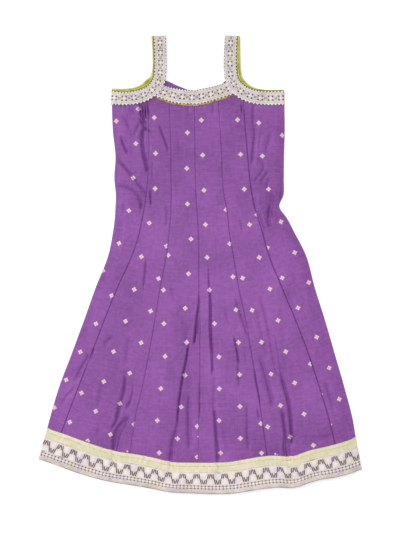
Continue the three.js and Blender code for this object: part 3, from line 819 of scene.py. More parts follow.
# %% Back panels
LAYERS_BETWEEN = 2.4  # the front's face stays at least this far above the back's lower face
BACK_RISE = 2.2  # the most that a trough lifts the cloth off the table
BACK_SHARE = 0.6  # of the air under the front that a trough may take
BACK_SEAM_DEPTH = 0.45
BACK_SEAM_WIDTH = 0.9
BACK_GRID = (96, 38, 26)  # rows, columns of a panel, columns of a narrow side panel
BACK_CREASES = [
    ([(6, -30), (10, -120), (18, -220), (22, -420)], -2.0, 4, 5, 0, 0, 60, 0),
    ([(-10, 20), (-22, -100), (-44, -230), (-60, -420)], -1.8, 5, 4, 0, 0, 70, 0),
    ([(62, -70), (84, -190), (92, -420)], -1.7, 5, 6, 0, 0, 60, 0),
    ([(104, 30), (138, -120), (165, -250), (176, -420)], -2.0, 5, 4, 0, 0, 60, 0),
    ([(-74, -120), (-98, -240), (-112, -420)], -1.8, 4, 5, 0, 0, 50, 0),
    ([(-120, 20), (-160, -120), (-196, -260), (-212, -420)], -1.6, 6, 5, 0, 0, 60, 0),
    ([(-112, 190), (-100, 120), (-96, 60)], -0.9, 5, 5, 0, 0, 30, 30),
    ([(96, 170), (110, 110), (128, 60)], -0.9, 5, 6, 0, 0, 30, 30),
]


def back_face(x, y):
    """Height in mm of the back's lower face, which is 0 where it rests on the table."""
    rise = np.clip(crease_rise(x, y, BACK_CREASES), 0.0, BACK_RISE)
    to_side = np.minimum(x - garment_left(y), garment_right(y) - x)
    room = np.clip(front_face(x, y) - LAYERS_BETWEEN, 0.0, None)
    return np.minimum(rise * step((to_side - 4.0) / 30.0), BACK_SHARE * room)


back_pieces = []
for i, (name, plan) in enumerate(zip(PANELS, back_plans)):
    columns = BACK_GRID[1] if 0 < i < 5 else BACK_GRID[2]
    x, y, off_left, off_right, grain = panel_grid(plan, BACK_GRID[0], columns, BACK_CREASES)
    x, y = under_facing(x, y)
    sunk = np.zeros(x.shape)
    for off, sewn in ((off_left, i > 0), (off_right, i < 5)):
        if sewn:
            sunk += BACK_SEAM_DEPTH * np.exp(-((off / BACK_SEAM_WIDTH) ** 2))
    z = back_face(x, y) + sunk
    back_pieces.append(shell_piece("back_" + name + "_silk", x, y, z, CLOTH, grain, outward=-1.0))
print("back panels:", len(back_pieces), "with", face_count(back_pieces), "faces")

# %% [markdown]
# ## Shoulder straps
# Each strap is a narrow strip of the same silk, front over back, that meets at the shoulder seam.
# The front strap turns over at its top end to meet the back one, as a pressed shoulder seam does.

# %% Shoulder straps
STRAP_TURN = 2.2  # mm over which the strap rolls down to the shoulder seam
NECK_INSET = 1.3  # a front strap's neck edge lies this far inside the frame's, behind the lace's teeth


def strap_grid(node, row_count, column_count):
    """x, y and the grain coordinates over a strap's grid, from its shoulder down."""
    points = corners_from_above(node)
    levels = np.unique(np.round(points[:, 1], 1))
    rows = [np.sort(points[abs(points[:, 1] - y) < 0.1][:, 0]) for y in levels]
    left, right = np.array([[row[0], row[-1]] for row in rows]).T
    down = np.linspace(levels[-1], levels[0], row_count)
    share = np.linspace(0.0, 1.0, column_count)
    y = np.repeat(down[:, None], column_count, 1)
    x = smooth(y, levels, left) + (smooth(y, levels, right) - smooth(y, levels, left)) * share
    return x, y, np.stack([x - x[:, :1], levels[-1] - y], -1)


strap_pieces = []
for side in ("left", "right"):
    x, y, grain = strap_grid("front_strap_" + side, 44, 12)
    from_neck = (x - x[:, :1]) / (x[:, -1:] - x[:, :1])
    x = x - NECK_INSET * from_neck if side == "left" else x + NECK_INSET * (1.0 - from_neck)
    turn = np.clip(1.0 - (y.max() - y) / STRAP_TURN, 0.0, 1.0)
    z = FRONT_FACE + 0.12 * ripple(x, y, 12.0, 25.0, 5.0) - 1.0 * (1.0 - np.sqrt(1.0 - turn**2))
    strap_pieces.append(shell_piece("front_strap_" + side + "_silk", x, y, z, CLOTH, grain))
    x, y, grain = strap_grid("back_strap_" + side, 30, 10)
    x, y = under_facing(x, y)
    flat = np.zeros(x.shape)
    strap_pieces.append(shell_piece("back_strap_" + side + "_silk", x, y, flat, CLOTH, grain, outward=-1.0))
print("straps:", [piece.name for piece in strap_pieces])

# %% [markdown]
# ## Helpers for materials
# A few steps come again and again in materials: noise, a value carried to another range, two colours
# mixed. Each is a small function here, so that a material reads like a recipe.


# %% Helpers for materials
def noise_at(tree, place, scale, detail):
    """Noise from 0 to 1 that is alike in every direction."""
    return put(tree, "ShaderNodeTexNoise", {"Vector": place, "Scale": scale, "Detail": detail}).outputs["Fac"]


def stretched_noise(tree, uv, scale, detail, offset):
    """Noise that is drawn out along one direction of the cloth."""
    moved = out(tree, "ShaderNodeMapping", {"Vector": uv, "Location": (offset, offset * 0.7, 0.0),
                                            "Scale": (*scale, 1.0)})
    return put(tree, "ShaderNodeTexNoise", {"Vector": moved, "Scale": 1.0, "Detail": detail},
               noise_dimensions="2D").outputs["Fac"]


def maths(tree, operation, first, second=0.0):
    """One sum of two values in a tree."""
    return out(tree, "ShaderNodeMath", {0: first, 1: second}, operation=operation)


def weighted(tree, *terms):
    """The sum of values, each times its weight."""
    total = 0.0
    for value, weight in terms:
        total = out(tree, "ShaderNodeMath", {0: value, 1: weight, 2: total}, operation="MULTIPLY_ADD")
    return total


def mixed(tree, factor, first, second):
    """Two colours mixed by a factor."""
    return put(tree, "ShaderNodeMix", {0: factor, 6: first, 7: second}, data_type="RGBA").outputs[2]


def ranged(tree, value, low, high, to_low=0.0, to_high=1.0):
    """A value carried from one range to another, and kept inside it."""
    return out(tree, "ShaderNodeMapRange", {0: value, 1: low, 2: high, 3: to_low, 4: to_high})


def wave(tree, value, per_metre):
    """A sine wave between -1 and 1 along one cloth coordinate."""
    return maths(tree, "SINE", maths(tree, "MULTIPLY", value, per_metre * 2.0 * math.pi))


def object_place(tree):
    """Where each point lies on the garment, in metres."""
    return put(tree, "ShaderNodeTexCoord").outputs["Object"]


def kept_value(tree, name):
    """The value that a mesh attribute of this name holds at each point."""
    return put(tree, "ShaderNodeAttribute", attribute_name=name).outputs["Fac"]


def emboss(tree, shader, height, strength, distance):
    """Lets a height bump the surface. distance is in mm."""
    bump = out(tree, "ShaderNodeBump", {"Height": height, "Strength": strength, "Distance": distance * MM})
    tree.links.new(bump, shader.inputs["Normal"])


# %% [markdown]
# ## Painted light and shade in the silk
# Silk looks lighter where it faces the light and darker in a hollow. The front's own form gives most
# of that, and a few soft patches of painted light and painted shade add the rest. A lamp could make
# them, but here they are painted into the silk's colour through an attribute of the mesh, so they look the
# same from every side.

# %% Patches of painted light and shade
# middle, reach across and up, how much lighter the painted light makes the silk; below 0 it is painted shade
PAINTED_LIGHT_PATCHES = [
    ((-68, -216), (24, 80), 0.095), ((22, 236), (40, 42), 0.055), ((72, 168), (24, 28), 0.055),
    ((-117, 135), (20, 28), 0.045), ((44, 44), (40, 34), 0.045), ((-74, -40), (42, 56), 0.045),
    ((24, -236), (20, 46), 0.06), ((72, -142), (20, 42), 0.055), ((72, -274), (20, 22), 0.06),
    ((232, -268), (44, 22), 0.05), ((112, -204), (18, 46), -0.03), ((198, -54), (22, 24), 0.05),
    ((-101, 273), (9, 20), -0.12),
]
# each front panel carries the painted light and shade as a mesh attribute
for piece in front_pieces:
    count = len(piece.data.vertices)
    spots = np.empty(count * 3, np.float32)
    piece.data.vertices.foreach_get("co", spots)
    x, y, _ = spots.reshape(-1, 3).T / MM
    shine = sum(much * np.exp(-(((x - mx) / wide) ** 2) - ((y - my) / tall) ** 2)
                for (mx, my), (wide, tall), much in PAINTED_LIGHT_PATCHES)
    piece.data.attributes.new("shine", "FLOAT", "POINT").data.foreach_set("value", shine.astype(np.float32))
print("soft patches:", len(PAINTED_LIGHT_PATCHES))

# %% [markdown]
# ## Purple silk
# The cloth is a plain-woven silk with uneven thread. Its weft runs across each panel and shows as
# fine light and dark streaks, with a thicker slub here and there, while the warp only just shows.
# Noise stretched along one thread direction draws such streaks, and the cloth's own UV map turns
# them with each panel. The same streaks, and a fine over-and-under weave, drive the bump.

# %% Purple silk
PURPLE_DARK = srgb(112, 58, 128)
PURPLE_LIGHT = srgb(154, 92, 173)
SLUB = srgb(176, 122, 192)
WEFT_STREAK = (32.0, 760.0)  # streaks to the metre along and across the weft thread
WARP_STREAK = (900.0, 22.0)
SLUB_STREAK = (22.0, 520.0)
THREADS = 2300.0  # threads to the metre

silk, tree, shader = new_material("purple_silk", Roughness=0.48, Sheen_Weight=0.12, Sheen_Roughness=0.4,
                                  Specular_IOR_Level=0.25, Anisotropic=0.3)
shader.inputs["Sheen Tint"].default_value = srgb(232, 200, 240)
uv = out(tree, "ShaderNodeUVMap", uv_map="grain")
weft = stretched_noise(tree, uv, WEFT_STREAK, 3.0, 0.0)
warp = stretched_noise(tree, uv, WARP_STREAK, 2.0, 31.0)
slub = ranged(tree, stretched_noise(tree, uv, SLUB_STREAK, 1.0, 57.0), 0.66, 0.8)
place = object_place(tree)
broad = noise_at(tree, place, 11.0, 2.0)
mottle = noise_at(tree, place, 150.0, 3.0)
shine = kept_value(tree, "shine")
# the dye's own unevenness from weft, warp, mottle and broad noise, with the painted light and shade patches
# added
depth = weighted(tree, (weft, 0.32), (warp, 0.2), (mottle, 0.3), (broad, 0.42), (shine, 1.0))
dye_and_painted_light = mixed(tree, ranged(tree, depth, 0.41, 0.83), PURPLE_DARK, PURPLE_LIGHT)
threads = mixed(tree, weighted(tree, (slub, 0.15)), dye_and_painted_light, SLUB)
tree.links.new(threads, shader.inputs["Base Color"])
apart = put(tree, "ShaderNodeSeparateXYZ", {0: uv})
across = wave(tree, apart.outputs[0], THREADS / 2)
down = wave(tree, apart.outputs[1], THREADS / 2)
over_under = maths(tree, "MULTIPLY", across, down)
relief = weighted(tree, (weft, 0.8), (slub, 0.35), (over_under, 0.12))
emboss(tree, shader, relief, 0.35, 0.25)
tree.links.new(ranged(tree, weft, 0.3, 0.7, 0.42, 0.56), shader.inputs["Roughness"])
for piece in front_pieces + back_pieces + strap_pieces:
    piece.data.materials.append(silk)
print("silk on", len(front_pieces + back_pieces + strap_pieces), "pieces")

# %% [markdown]
# ## Lime facing and piping
# The facing is a flat strip with a turned outer edge. The piping is a bias strip round a thin cord,
# so it stands up as a half-round. Both are grids of offsets from the armhole line.

# %% Lime facing and piping
FACING_FACE = 2.25
FACING_WALL = 0.8
FACING_UNDER = 3.0  # how far it runs on in under the lace
FACING_SHARES = np.array([0.0, 0.06, 0.13, 0.22, 0.4, 0.6, 0.8, 1.0])  # columns over its width
TURNED = 0.22  # the share of its width that turns down at the outer edge
TURN_DEPTH = 0.95
PIPING_BASE = 2.45
PIPING_RISE = 1.35
PIPING_WALL = 0.5
PIPING_GAP = 1.2  # between the piping and the lace, where the facing lies in shade
EDGE_COLUMNS = 3  # of the facing's columns make its turned edge, which catches the light
ACROSS = np.linspace(0.0, 1.0, 9)  # columns over a narrow strip


def half_round(across):
    """The height of a half-round over its width, 0 at its edges and 1 along its middle."""
    return np.sqrt(np.clip(1.0 - (2.0 * across - 1.0) ** 2, 0.0, 1.0))


facing_pieces = []
piping_pieces = []
for side, line in armhole_lines.items():
    offsets = -line.facing[:, None] + (line.facing[:, None] + FACING_UNDER) * FACING_SHARES
    x, y = line.strip(offsets)
    turned = np.clip(1.0 - FACING_SHARES / TURNED, 0.0, 1.0)
    z = FACING_FACE - TURN_DEPTH * (1.0 - np.sqrt(1.0 - turned**2)) + 0.1 * ripple(x, y, 9.0, 9.0, 2.0)
    name = "armhole_facing_" + side + "_satin"
    facing_pieces.append(shell_piece(name, x, y, z, FACING_WALL, line.grain(offsets)))
    offsets = -line.piping[:, None] + (line.piping[:, None] - PIPING_GAP) * ACROSS
    x, y = line.strip(offsets)
    z = PIPING_BASE + PIPING_RISE * half_round(ACROSS) + 0.0 * x
    name = "armhole_piping_" + side + "_satin"
    piping_pieces.append(shell_piece(name, x, y, z, PIPING_WALL, line.grain(offsets)))
print("facings and pipings:", [piece.name for piece in facing_pieces + piping_pieces])

# %% [markdown]
# ## Satin
# Soft streaks between a darker and a lighter green, and fine slanting ribs in the bump, draw the
# satin. The facing is one lime satin, painted in two: its flat part in olive greens, painted shade beside the
# piping and the lace, and its turned edge, which catches more light, in paler greens, painted light.


# %% Satin for the facing and the piping
def satin(name, dark, light, ribs):
    """A satin whose slanting ribs follow a strip's own UV map."""
    made, tree, shader = new_material(name, Roughness=0.36, Sheen_Weight=0.2, Specular_IOR_Level=0.5)
    uv = out(tree, "ShaderNodeUVMap", uv_map="grain")
    apart = put(tree, "ShaderNodeSeparateXYZ", {0: uv})
    slanted = weighted(tree, (apart.outputs[0], 0.6), (apart.outputs[1], 1.0))
    twill = wave(tree, slanted, ribs)
    patch = stretched_noise(tree, uv, (160.0, 90.0), 3.0, 5.0)
    tone = ranged(tree, weighted(tree, (patch, 1.0), (twill, 0.09)), 0.3, 0.7)
    tree.links.new(mixed(tree, tone, dark, light), shader.inputs["Base Color"])
    emboss(tree, shader, twill, 0.3, 0.12)
    return made


# the facing's flat part gets olive greens as painted shade, and its turned edge paler lime greens as painted
# light
facing_in_painted_shade = satin("olive_facing_satin", srgb(126, 132, 34), srgb(176, 178, 58), 1400.0)
edge_in_painted_light = satin("lime_edge_satin", srgb(184, 184, 56), srgb(218, 216, 92), 1400.0)
piping_satin = satin("lime_piping_satin", srgb(186, 176, 84), srgb(226, 218, 146), 900.0)
for piece in facing_pieces:
    piece.data.materials.append(facing_in_painted_shade)
    piece.data.materials.append(edge_in_painted_light)
    columns = len(FACING_SHARES) - 1
    is_edge = [i % columns < EDGE_COLUMNS for i in range(2 * columns * (len(line.at) - 1))]
    is_edge += [False] * (len(piece.data.polygons) - len(is_edge))
    piece.data.polygons.foreach_set("material_index", is_edge)
for piece in piping_pieces:
    piece.data.materials.append(piping_satin)
print("edge faces of a facing:", sum(is_edge))

# %% [markdown]
# ## Neck piping
# A mustard piping edges the neck lace below. Its line runs between the two armhole tapes, along the
# lower side of the neck trim.

# %% The neck line and its piping
# upper x, upper y, lower x, lower y
NECK = [
    (-61.6, 322.2, -81.6, 299.6), (-54, 320.2, -69, 295.6), (-45, 318.4, -57, 291.0),
    (-33, 316.4, -42, 287.3), (-21, 315.0, -25, 286.0), (-9, 314.2, -9, 285.6), (-4.3, 315.8, -2, 285.8),
    (6, 317.6, 9, 288.4), (18, 320.2, 22, 292.0), (33, 324.2, 43, 298.2), (43.6, 327.8, 60.0, 303.8),
]
NECK_LACE_SHARE = 0.91  # of the neck trim's depth
NECK_TUCK = 0.02  # the piping's upper edge starts this share above the lace's lower edge
NECK_PIPING_LIFT = 0.15
NECK_PIPING_RISE = 1.3
NECK_PIPING_WIDTH = 4.0  # round its half-round


def neck_strip(shares, count, start=0.0, end=1.0):
    """x and y over a strip of the neck trim, and how far along it each row is, in mm. shares are of
    its depth, from its upper edge, and start and end are of its length."""
    table = np.array(NECK, float)
    middle = (table[:, :2] + table[:, 2:]) / 2
    walked = walked_along(*middle.T)
    at = walked[-1] * np.linspace(start, end, count)
    x0, y0, x1, y1 = (smooth(at, walked, c)[:, None] for c in table.T)
    return x0 + (x1 - x0) * shares, y0 + (y1 - y0) * shares, at


shares = NECK_LACE_SHARE - NECK_TUCK + (1.0 - NECK_LACE_SHARE + NECK_TUCK) * ACROSS
x, y, at = neck_strip(shares, 120)
z = front_face(x, y) + NECK_PIPING_LIFT + NECK_PIPING_RISE * half_round(ACROSS)
grain = np.stack([NECK_PIPING_WIDTH * ACROSS + 0.0 * x, at[:, None] + 0.0 * x], -1)
neck_piping = shell_piece("neck_piping_satin", x, y, z, PIPING_WALL, grain)
# its ribs, about the lace's tooth pitch apart, bump the surface and also darken its colour in brown dots:
# painted shade for the gaps between the lace's teeth
neck_piping.data.materials.append(satin("mustard_piping_satin", srgb(112, 84, 60), srgb(196, 168, 88), 190.0))
print("neck piping length, mm:", round(float(at[-1]), 1))

# %% [markdown]
# ## Building one repeat of lace
# Machine lace repeats a small unit, so only one flat unit is drawn, lying along x, and is laid out
# many times later. Its ground is a thin sheet with real openings, cut by a constrained Delaunay
# triangulation. Cords, pads and beads stand on it. Every part keeps its thread's tone as an
# attribute, from dark net and painted shade to bright white, and one material turns that into colour.

# %% A flat unit of lace
# the darkest tone is the hem lace's brown net, and also painted shade under the tape's eyelets and teeth
NET_AND_PAINTED_SHADE, CORD, GROUND, PALE, BRIGHT = 0.0, 0.25, 0.5, 0.75, 1.0  # thread tones


class LaceUnit:
    """One repeat of lace, drawn flat in mm. x runs along the lace, y across it, and z stands up. Its
    sheet and the threads that stand on it are kept apart, as two pieces. foot is the height where
    pads and cords start."""

    def __init__(self, foot):
        self.foot = foot
        self.parts = {"sheet": ([], [], []), "threads": ([], [], [])}

    def add(self, part, points, faces, tone):
        """Adds points and faces of one tone to the sheet or to the threads."""
        all_points, all_faces, tones = self.parts[part]
        base = len(all_points)
        all_points.extend(points)
        all_faces.extend(tuple(base + i for i in face) for face in faces)
        tones.extend([tone] * len(points))

    def ground(self, outline, holes, low, high, tone=GROUND, part="sheet", spacing=2.4):
        """A thin wall with openings. The outline and the holes are lists of points. Loose points between
        them, this far apart, let the wall bend."""
        rings = [outline] + holes
        boxes = [(np.min(hole, 0) - 0.3, np.max(hole, 0) + 0.3) for hole in holes]
        low_corner, high_corner = np.min(outline, 0), np.max(outline, 0)
        counts = np.maximum(1, np.round((high_corner - low_corner) / spacing)).astype(int)
        margin = 0.9 * (high_corner - low_corner) / counts
        loose = [(x, y) for x in np.linspace(low_corner[0] + margin[0], high_corner[0] - margin[0], counts[0])
                 for y in np.linspace(low_corner[1] + margin[1], high_corner[1] - margin[1], counts[1])
                 if not any((a < (x, y)).all() and ((x, y) < b).all() for a, b in boxes)]
        flat = [Vector(p) for ring in rings for p in ring] + [Vector(p) for p in loose]
        starts = np.cumsum([0] + [len(ring) for ring in rings])
        loops = [list(range(a, b)) for a, b in zip(starts[:-1], starts[1:])]
        cut, _, triangles, *_ = delaunay_2d_cdt(flat, [], loops, 2, 1e-5)
        count = len(cut)
        faces = []
        edges = set()
        for a, b, c in triangles:
            if (cut[b] - cut[a]).cross(cut[c] - cut[a]) < 0.0:
                b, c = c, b
            faces += [(a + count, b + count, c + count), (a, c, b)]
            edges |= {(a, b), (b, c), (c, a)}
        faces += [(a, b, b + count, a + count) for a, b in sorted(edges) if (b, a) not in edges]
        self.add(part, [(p.x, p.y, z) for z in (low, high) for p in cut], faces, tone)

    def pad(self, ring, high, tone, inset=0.55):
        """A padded patch: its ring of points rises to a smaller ring and a crown."""
        low = self.foot
        n = len(ring)
        cx = sum(p[0] for p in ring) / n
        cy = sum(p[1] for p in ring) / n
        inner = [(cx + (x - cx) * inset, cy + (y - cy) * inset, low + (high - low) * 0.8) for x, y in ring]
        points = [(x, y, low) for x, y in ring] + inner + [(cx, cy, high)]
        faces = [(i, (i + 1) % n, n + (i + 1) % n, n + i) for i in range(n)]
        faces += [(n + i, n + (i + 1) % n, 2 * n) for i in range(n)]
        self.add("threads", points, faces + [tuple(range(n))[::-1]], tone)

    def cord(self, start, end, width, high, tone):
        """A straight raised cord with a ridge along its middle."""
        low = self.foot
        (x0, y0), (x1, y1) = start, end
        run = math.hypot(x1 - x0, y1 - y0)
        nx, ny = -(y1 - y0) / run * width / 2, (x1 - x0) / run * width / 2
        points = [(x0 - nx, y0 - ny, low), (x0, y0, high), (x0 + nx, y0 + ny, low),
                  (x1 - nx, y1 - ny, low), (x1, y1, high), (x1 + nx, y1 + ny, low)]
        self.add("threads", points, [(0, 3, 4, 1), (1, 4, 5, 2), (0, 1, 2), (3, 5, 4), (0, 2, 5, 3)], tone)

    def finished(self, name):
        """The sheet and the threads, as two objects that aren't in the scene."""
        units = []
        for part, (points, faces, tones) in self.parts.items():
            mesh = bpy.data.meshes.new(f"{name}_{part}")
            mesh.from_pydata([(x * MM, y * MM, z * MM) for x, y, z in points], [], faces)
            mesh.attributes.new("thread_tone", "FLOAT", "POINT").data.foreach_set("value", tones)
            units.append(bpy.data.objects.new(mesh.name, mesh))
            print(mesh.name, "has", sum(len(face) - 2 for face in faces), "triangles")
        return units


# %% Outlines for openings and pads
def ring(x, y, radius_x, radius_y, sides, turn=0.0):
    """The corners of a small round or diamond."""
    angles = [turn + 2.0 * math.pi * k / sides for k in range(sides)]
    return [(x + radius_x * math.cos(a), y + radius_y * math.sin(a)) for a in angles]


def bar(x, y, length, width, angle):
    """The corners of a slanting bar."""
    cos, sin = math.cos(angle), math.sin(angle)
    a, b = length / 2, width / 2
    flat = [(-a, -b), (a, -b), (a, b), (-a, b)]
    return [(x + u * cos - v * sin, y + u * sin + v * cos) for u, v in flat]


def block(length, low, high):
    """The corners of one repeat's stretch of lace between two heights."""
    return [(0.0, low), (length, low), (length, high), (0.0, high)]


# %% [markdown]
# ## The tape's repeat
# The tape round the neck and armholes repeats every 16.5 mm: a bright diamond with four eyelets
# close round it, then a grey cross with the eyelets further off. Cords, a pale band and a row of
# small openings follow on each side, and both edges end in teeth.

# %% One repeat of the tape
TAPE_REPEAT = 16.5
TAPE_WIDTH = 24.0
TOOTH_PITCH = TAPE_REPEAT / 3
TOOTH_ROOT = 9.9  # distance of the teeth's roots from the tape's middle line
EYELET_ROW = 2.95
DIAMOND_X = 11.7
CROSS_X = 3.45
EYELET_OFF = 3.35
EYELET = (1.75, 1.45)  # its radii along and across


def toothed_edge(side):
    """The points of one toothed edge, from left to right."""
    points = []
    for k in range(3):
        x = k * TOOTH_PITCH
        points += [(x, side * TOOTH_ROOT), (x + 0.7, side * TOOTH_ROOT),
                   (x + TOOTH_PITCH / 2 - 0.35, side * TAPE_WIDTH / 2),
                   (x + TOOTH_PITCH / 2 + 0.35, side * TAPE_WIDTH / 2),
                   (x + TOOTH_PITCH - 0.7, side * TOOTH_ROOT)]
    return points + [(TAPE_REPEAT, side * TOOTH_ROOT)]


tape = LaceUnit(0.45)
openings = []
for side in (-1.0, 1.0):
    for x in (DIAMOND_X - EYELET_OFF, DIAMOND_X + EYELET_OFF):
        openings.append(ring(x, side * EYELET_ROW, *EYELET, 8, math.pi / 8))
    for x in (CROSS_X - 1.1, CROSS_X + 1.1):
        openings.append(ring(x, side * 1.75, 0.7, 0.6, 4))
tape.ground(toothed_edge(-1.0) + toothed_edge(1.0)[::-1], openings, 0.0, 0.5, tone=0.57)
# thin dark strips under the eyelets and between the teeth are painted shade, so that the openings and the
# tooth gaps show dark
for low_edge, high_edge in ((-4.8, 4.8), (-11.3, -9.2), (9.2, 11.3)):
    tape.ground(block(TAPE_REPEAT, low_edge, high_edge), [], -0.08, -0.02, NET_AND_PAINTED_SHADE, "threads")
tape.pad(ring(DIAMOND_X, 0.0, 2.2, 1.9, 4), 1.15, BRIGHT)
for side in (-1.0, 1.0):
    tape.pad(ring(DIAMOND_X, side * 3.8, 1.4, 0.9, 4), 0.95, PALE)
    tape.pad(ring(CROSS_X, side * 3.7, 1.9, 0.8, 4), 0.9, PALE)
    tape.cord((CROSS_X - 2.4, side * 1.5), (CROSS_X + 2.4, -side * 1.5), 1.0, 1.0, CORD)
    tape.pad(ring(DIAMOND_X - 4.1, side * 0.2, 0.8, 0.8, 4), 0.85, CORD)
    for x, width, tone in ((5.0, 0.7, CORD), (6.1, 1.3, BRIGHT), (7.2, 0.6, CORD), (9.7, 0.4, GROUND)):
        tape.cord((0.0, side * x), (TAPE_REPEAT, side * x), width, 0.85, tone)
    for k in range(6):
        x = k * TAPE_REPEAT / 6
        tape.cord((x + 0.1, side * 7.5), (x + 2.3, side * 9.7), 1.0, 0.85, BRIGHT)
        tape.cord((x + 1.5, side * 7.5), (x + 3.4, side * 9.4), 0.6, 0.6, CORD)
    for k in range(3):
        x = (k + 0.5) * TOOTH_PITCH
        tooth = [(x - 2.0, side * 10.0), (x + 2.0, side * 10.0), (x, side * 11.9)]
        tape.pad(tooth[::int(side)], 1.0, BRIGHT)
tape_units = tape.finished("tape_unit")

# %% [markdown]
# ## Laying lace along an edge
# A ribbon mesh, with a UV map that runs from 0 to 1 along it and across it, says where the lace
# goes. Geometry Nodes repeat the unit on a straight line, realize the copies, and look up each
# point's place and normal on the ribbon by its UV. So the lace bends with the armhole in plan and
# with the folds in height, and every repeat is a little stretched or squeezed, as sewn lace is.


# %% How every tree starts and ends
def node_tree(name, inputs):
    """An empty Geometry Nodes tree with named inputs, and its input and output nodes."""
    tree = bpy.data.node_groups.new(name, "GeometryNodeTree")
    tree.interface.new_socket("Geometry", in_out="INPUT", socket_type="NodeSocketGeometry")
    for label, kind in inputs:
        tree.interface.new_socket(label, in_out="INPUT", socket_type="NodeSocket" + kind)
    tree.interface.new_socket("Geometry", in_out="OUTPUT", socket_type="NodeSocketGeometry")
    return tree, put(tree, "NodeGroupInput").outputs, put(tree, "NodeGroupOutput")


def object_shape(tree, which, as_instance):
    """The geometry of an object that a tree is given."""
    feeds = {"Object": which, "As Instance": as_instance}
    return put(tree, "GeometryNodeObjectInfo", feeds).outputs["Geometry"]


def point_place(tree):
    """x, y and z of each point that a tree works on."""
    return put(tree, "ShaderNodeSeparateXYZ", {0: out(tree, "GeometryNodeInputPosition")}).outputs


def moved_and_dressed(tree, geometry, position, finish, result):
    """Ends a tree: its points move to their new places and its faces get their material."""
    moved = out(tree, "GeometryNodeSetPosition", {"Geometry": geometry, "Position": position})
    dressed = out(tree, "GeometryNodeSetMaterial", {"Geometry": moved, "Material": finish})
    tree.links.new(dressed, result.inputs[0])


# %% Repeat the unit on a straight line
laying, given, result = node_tree("lay_along_ribbon", [
    ("Unit", "Object"), ("Ribbon", "Object"), ("Count", "Int"), ("Repeat", "Float"), ("Width", "Float"),
    ("Finish", "Material"),
])
unit = object_shape(laying, given["Unit"], True)
ribbon = object_shape(laying, given["Ribbon"], False)
offset = out(laying, "ShaderNodeCombineXYZ", {0: given["Repeat"]})
row = out(laying, "GeometryNodeMeshLine", {"Count": given["Count"], "Offset": offset})
laid = out(laying, "GeometryNodeInstanceOnPoints",
           {"Points": row, "Instance": unit})
real = out(laying, "GeometryNodeRealizeInstances", {0: laid})

# %% Bend the row onto the ribbon
SHORT_OF_END = 0.0002  # shares of the ribbon that are left free, so that no look-up falls beside it
SHORT_OF_SIDE = 0.0005
spot = point_place(laying)
length = maths(laying, "MULTIPLY", given["Count"], given["Repeat"])
along_share = ranged(laying, maths(laying, "DIVIDE", spot[0], length),
                     0.0, 1.0, SHORT_OF_END, 1.0 - SHORT_OF_END)
across_share = ranged(laying, maths(laying, "DIVIDE", spot[1], given["Width"]),
                      -0.5, 0.5, SHORT_OF_SIDE, 1.0 - SHORT_OF_SIDE)
wanted = out(laying, "ShaderNodeCombineXYZ", {0: along_share, 1: across_share})
strip_uv = out(laying, "GeometryNodeInputNamedAttribute", {"Name": "strip"}, data_type="FLOAT_VECTOR")
looked_up = []  # the place and the normal on the ribbon
for kind in ("GeometryNodeInputPosition", "GeometryNodeInputNormal"):
    asked = {"Mesh": ribbon, "Value": out(laying, kind), "UV Map": strip_uv,
             "Sample UV": wanted}
    looked_up.append(out(laying, "GeometryNodeSampleUVSurface", asked, data_type="FLOAT_VECTOR"))
stood = out(laying, "ShaderNodeVectorMath", {0: looked_up[1], "Scale": spot[2]}, operation="SCALE")
bent = out(laying, "ShaderNodeVectorMath", {0: looked_up[0], 1: stood}, operation="ADD")
moved_and_dressed(laying, real, bent, given["Finish"], result)
print("nodes that lay lace:", len(laying.nodes))

# %% [markdown]
# ## From a tree to a plain mesh
# A modifier runs the tree, the evaluated result is kept as a mesh, and the modifier goes. What is
# left is plain geometry.


# %% Run a tree and keep its mesh
def grown(name, tree, base, settings):
    """Runs a tree on a base mesh and returns the result as a plain mesh object."""
    grower = placed(name, base)
    modifier = grower.modifiers.new("grow", "NODES")
    modifier.node_group = tree
    sockets = {item.name: item.identifier for item in tree.interface.items_tree if item.in_out == "INPUT"}
    for label, value in settings.items():
        modifier[sockets[label]] = value
    depsgraph = bpy.context.evaluated_depsgraph_get()
    mesh = bpy.data.meshes.new_from_object(grower.evaluated_get(depsgraph))
    mesh.name = name
    grower.modifiers.clear()
    grower.data = mesh
    return grower


# %% [markdown]
# ## From a ribbon to lace
# The ribbon is only a path: it is made, used by the tree and removed. Lace is sold by the repeat,
# and a whole number of repeats has to fit, so the count is rounded and the rest is taken up evenly.


# %% Ribbons, and lace laid along them
def ribbon_mesh(name, x, y, z):
    """A ribbon with a row for each station along it, from its start, and columns across it."""
    rows, columns = x.shape
    mesh = bpy.data.meshes.new(name)
    index = np.arange(rows * columns).reshape(rows, columns)
    faces = np.stack([index[:-1, :-1], index[1:, :-1], index[1:, 1:], index[:-1, 1:]], -1).reshape(-1, 4)
    mesh.from_pydata((np.stack([x, y, z], -1).reshape(-1, 3) * MM).tolist(), [], faces.tolist())
    mid = columns // 2
    walked = walked_along(x[:, mid], y[:, mid])
    along_part, across_part = np.meshgrid(walked / walked[-1], np.linspace(0, 1, columns), indexing="ij")
    share = np.stack([along_part, across_part], -1).reshape(-1, 2)
    layer = mesh.uv_layers.new(name="strip")
    layer.uv.foreach_set("vector", share[faces.ravel()].astype(np.float32).ravel())
    mesh.shade_smooth()
    return bpy.data.objects.new(name, mesh)


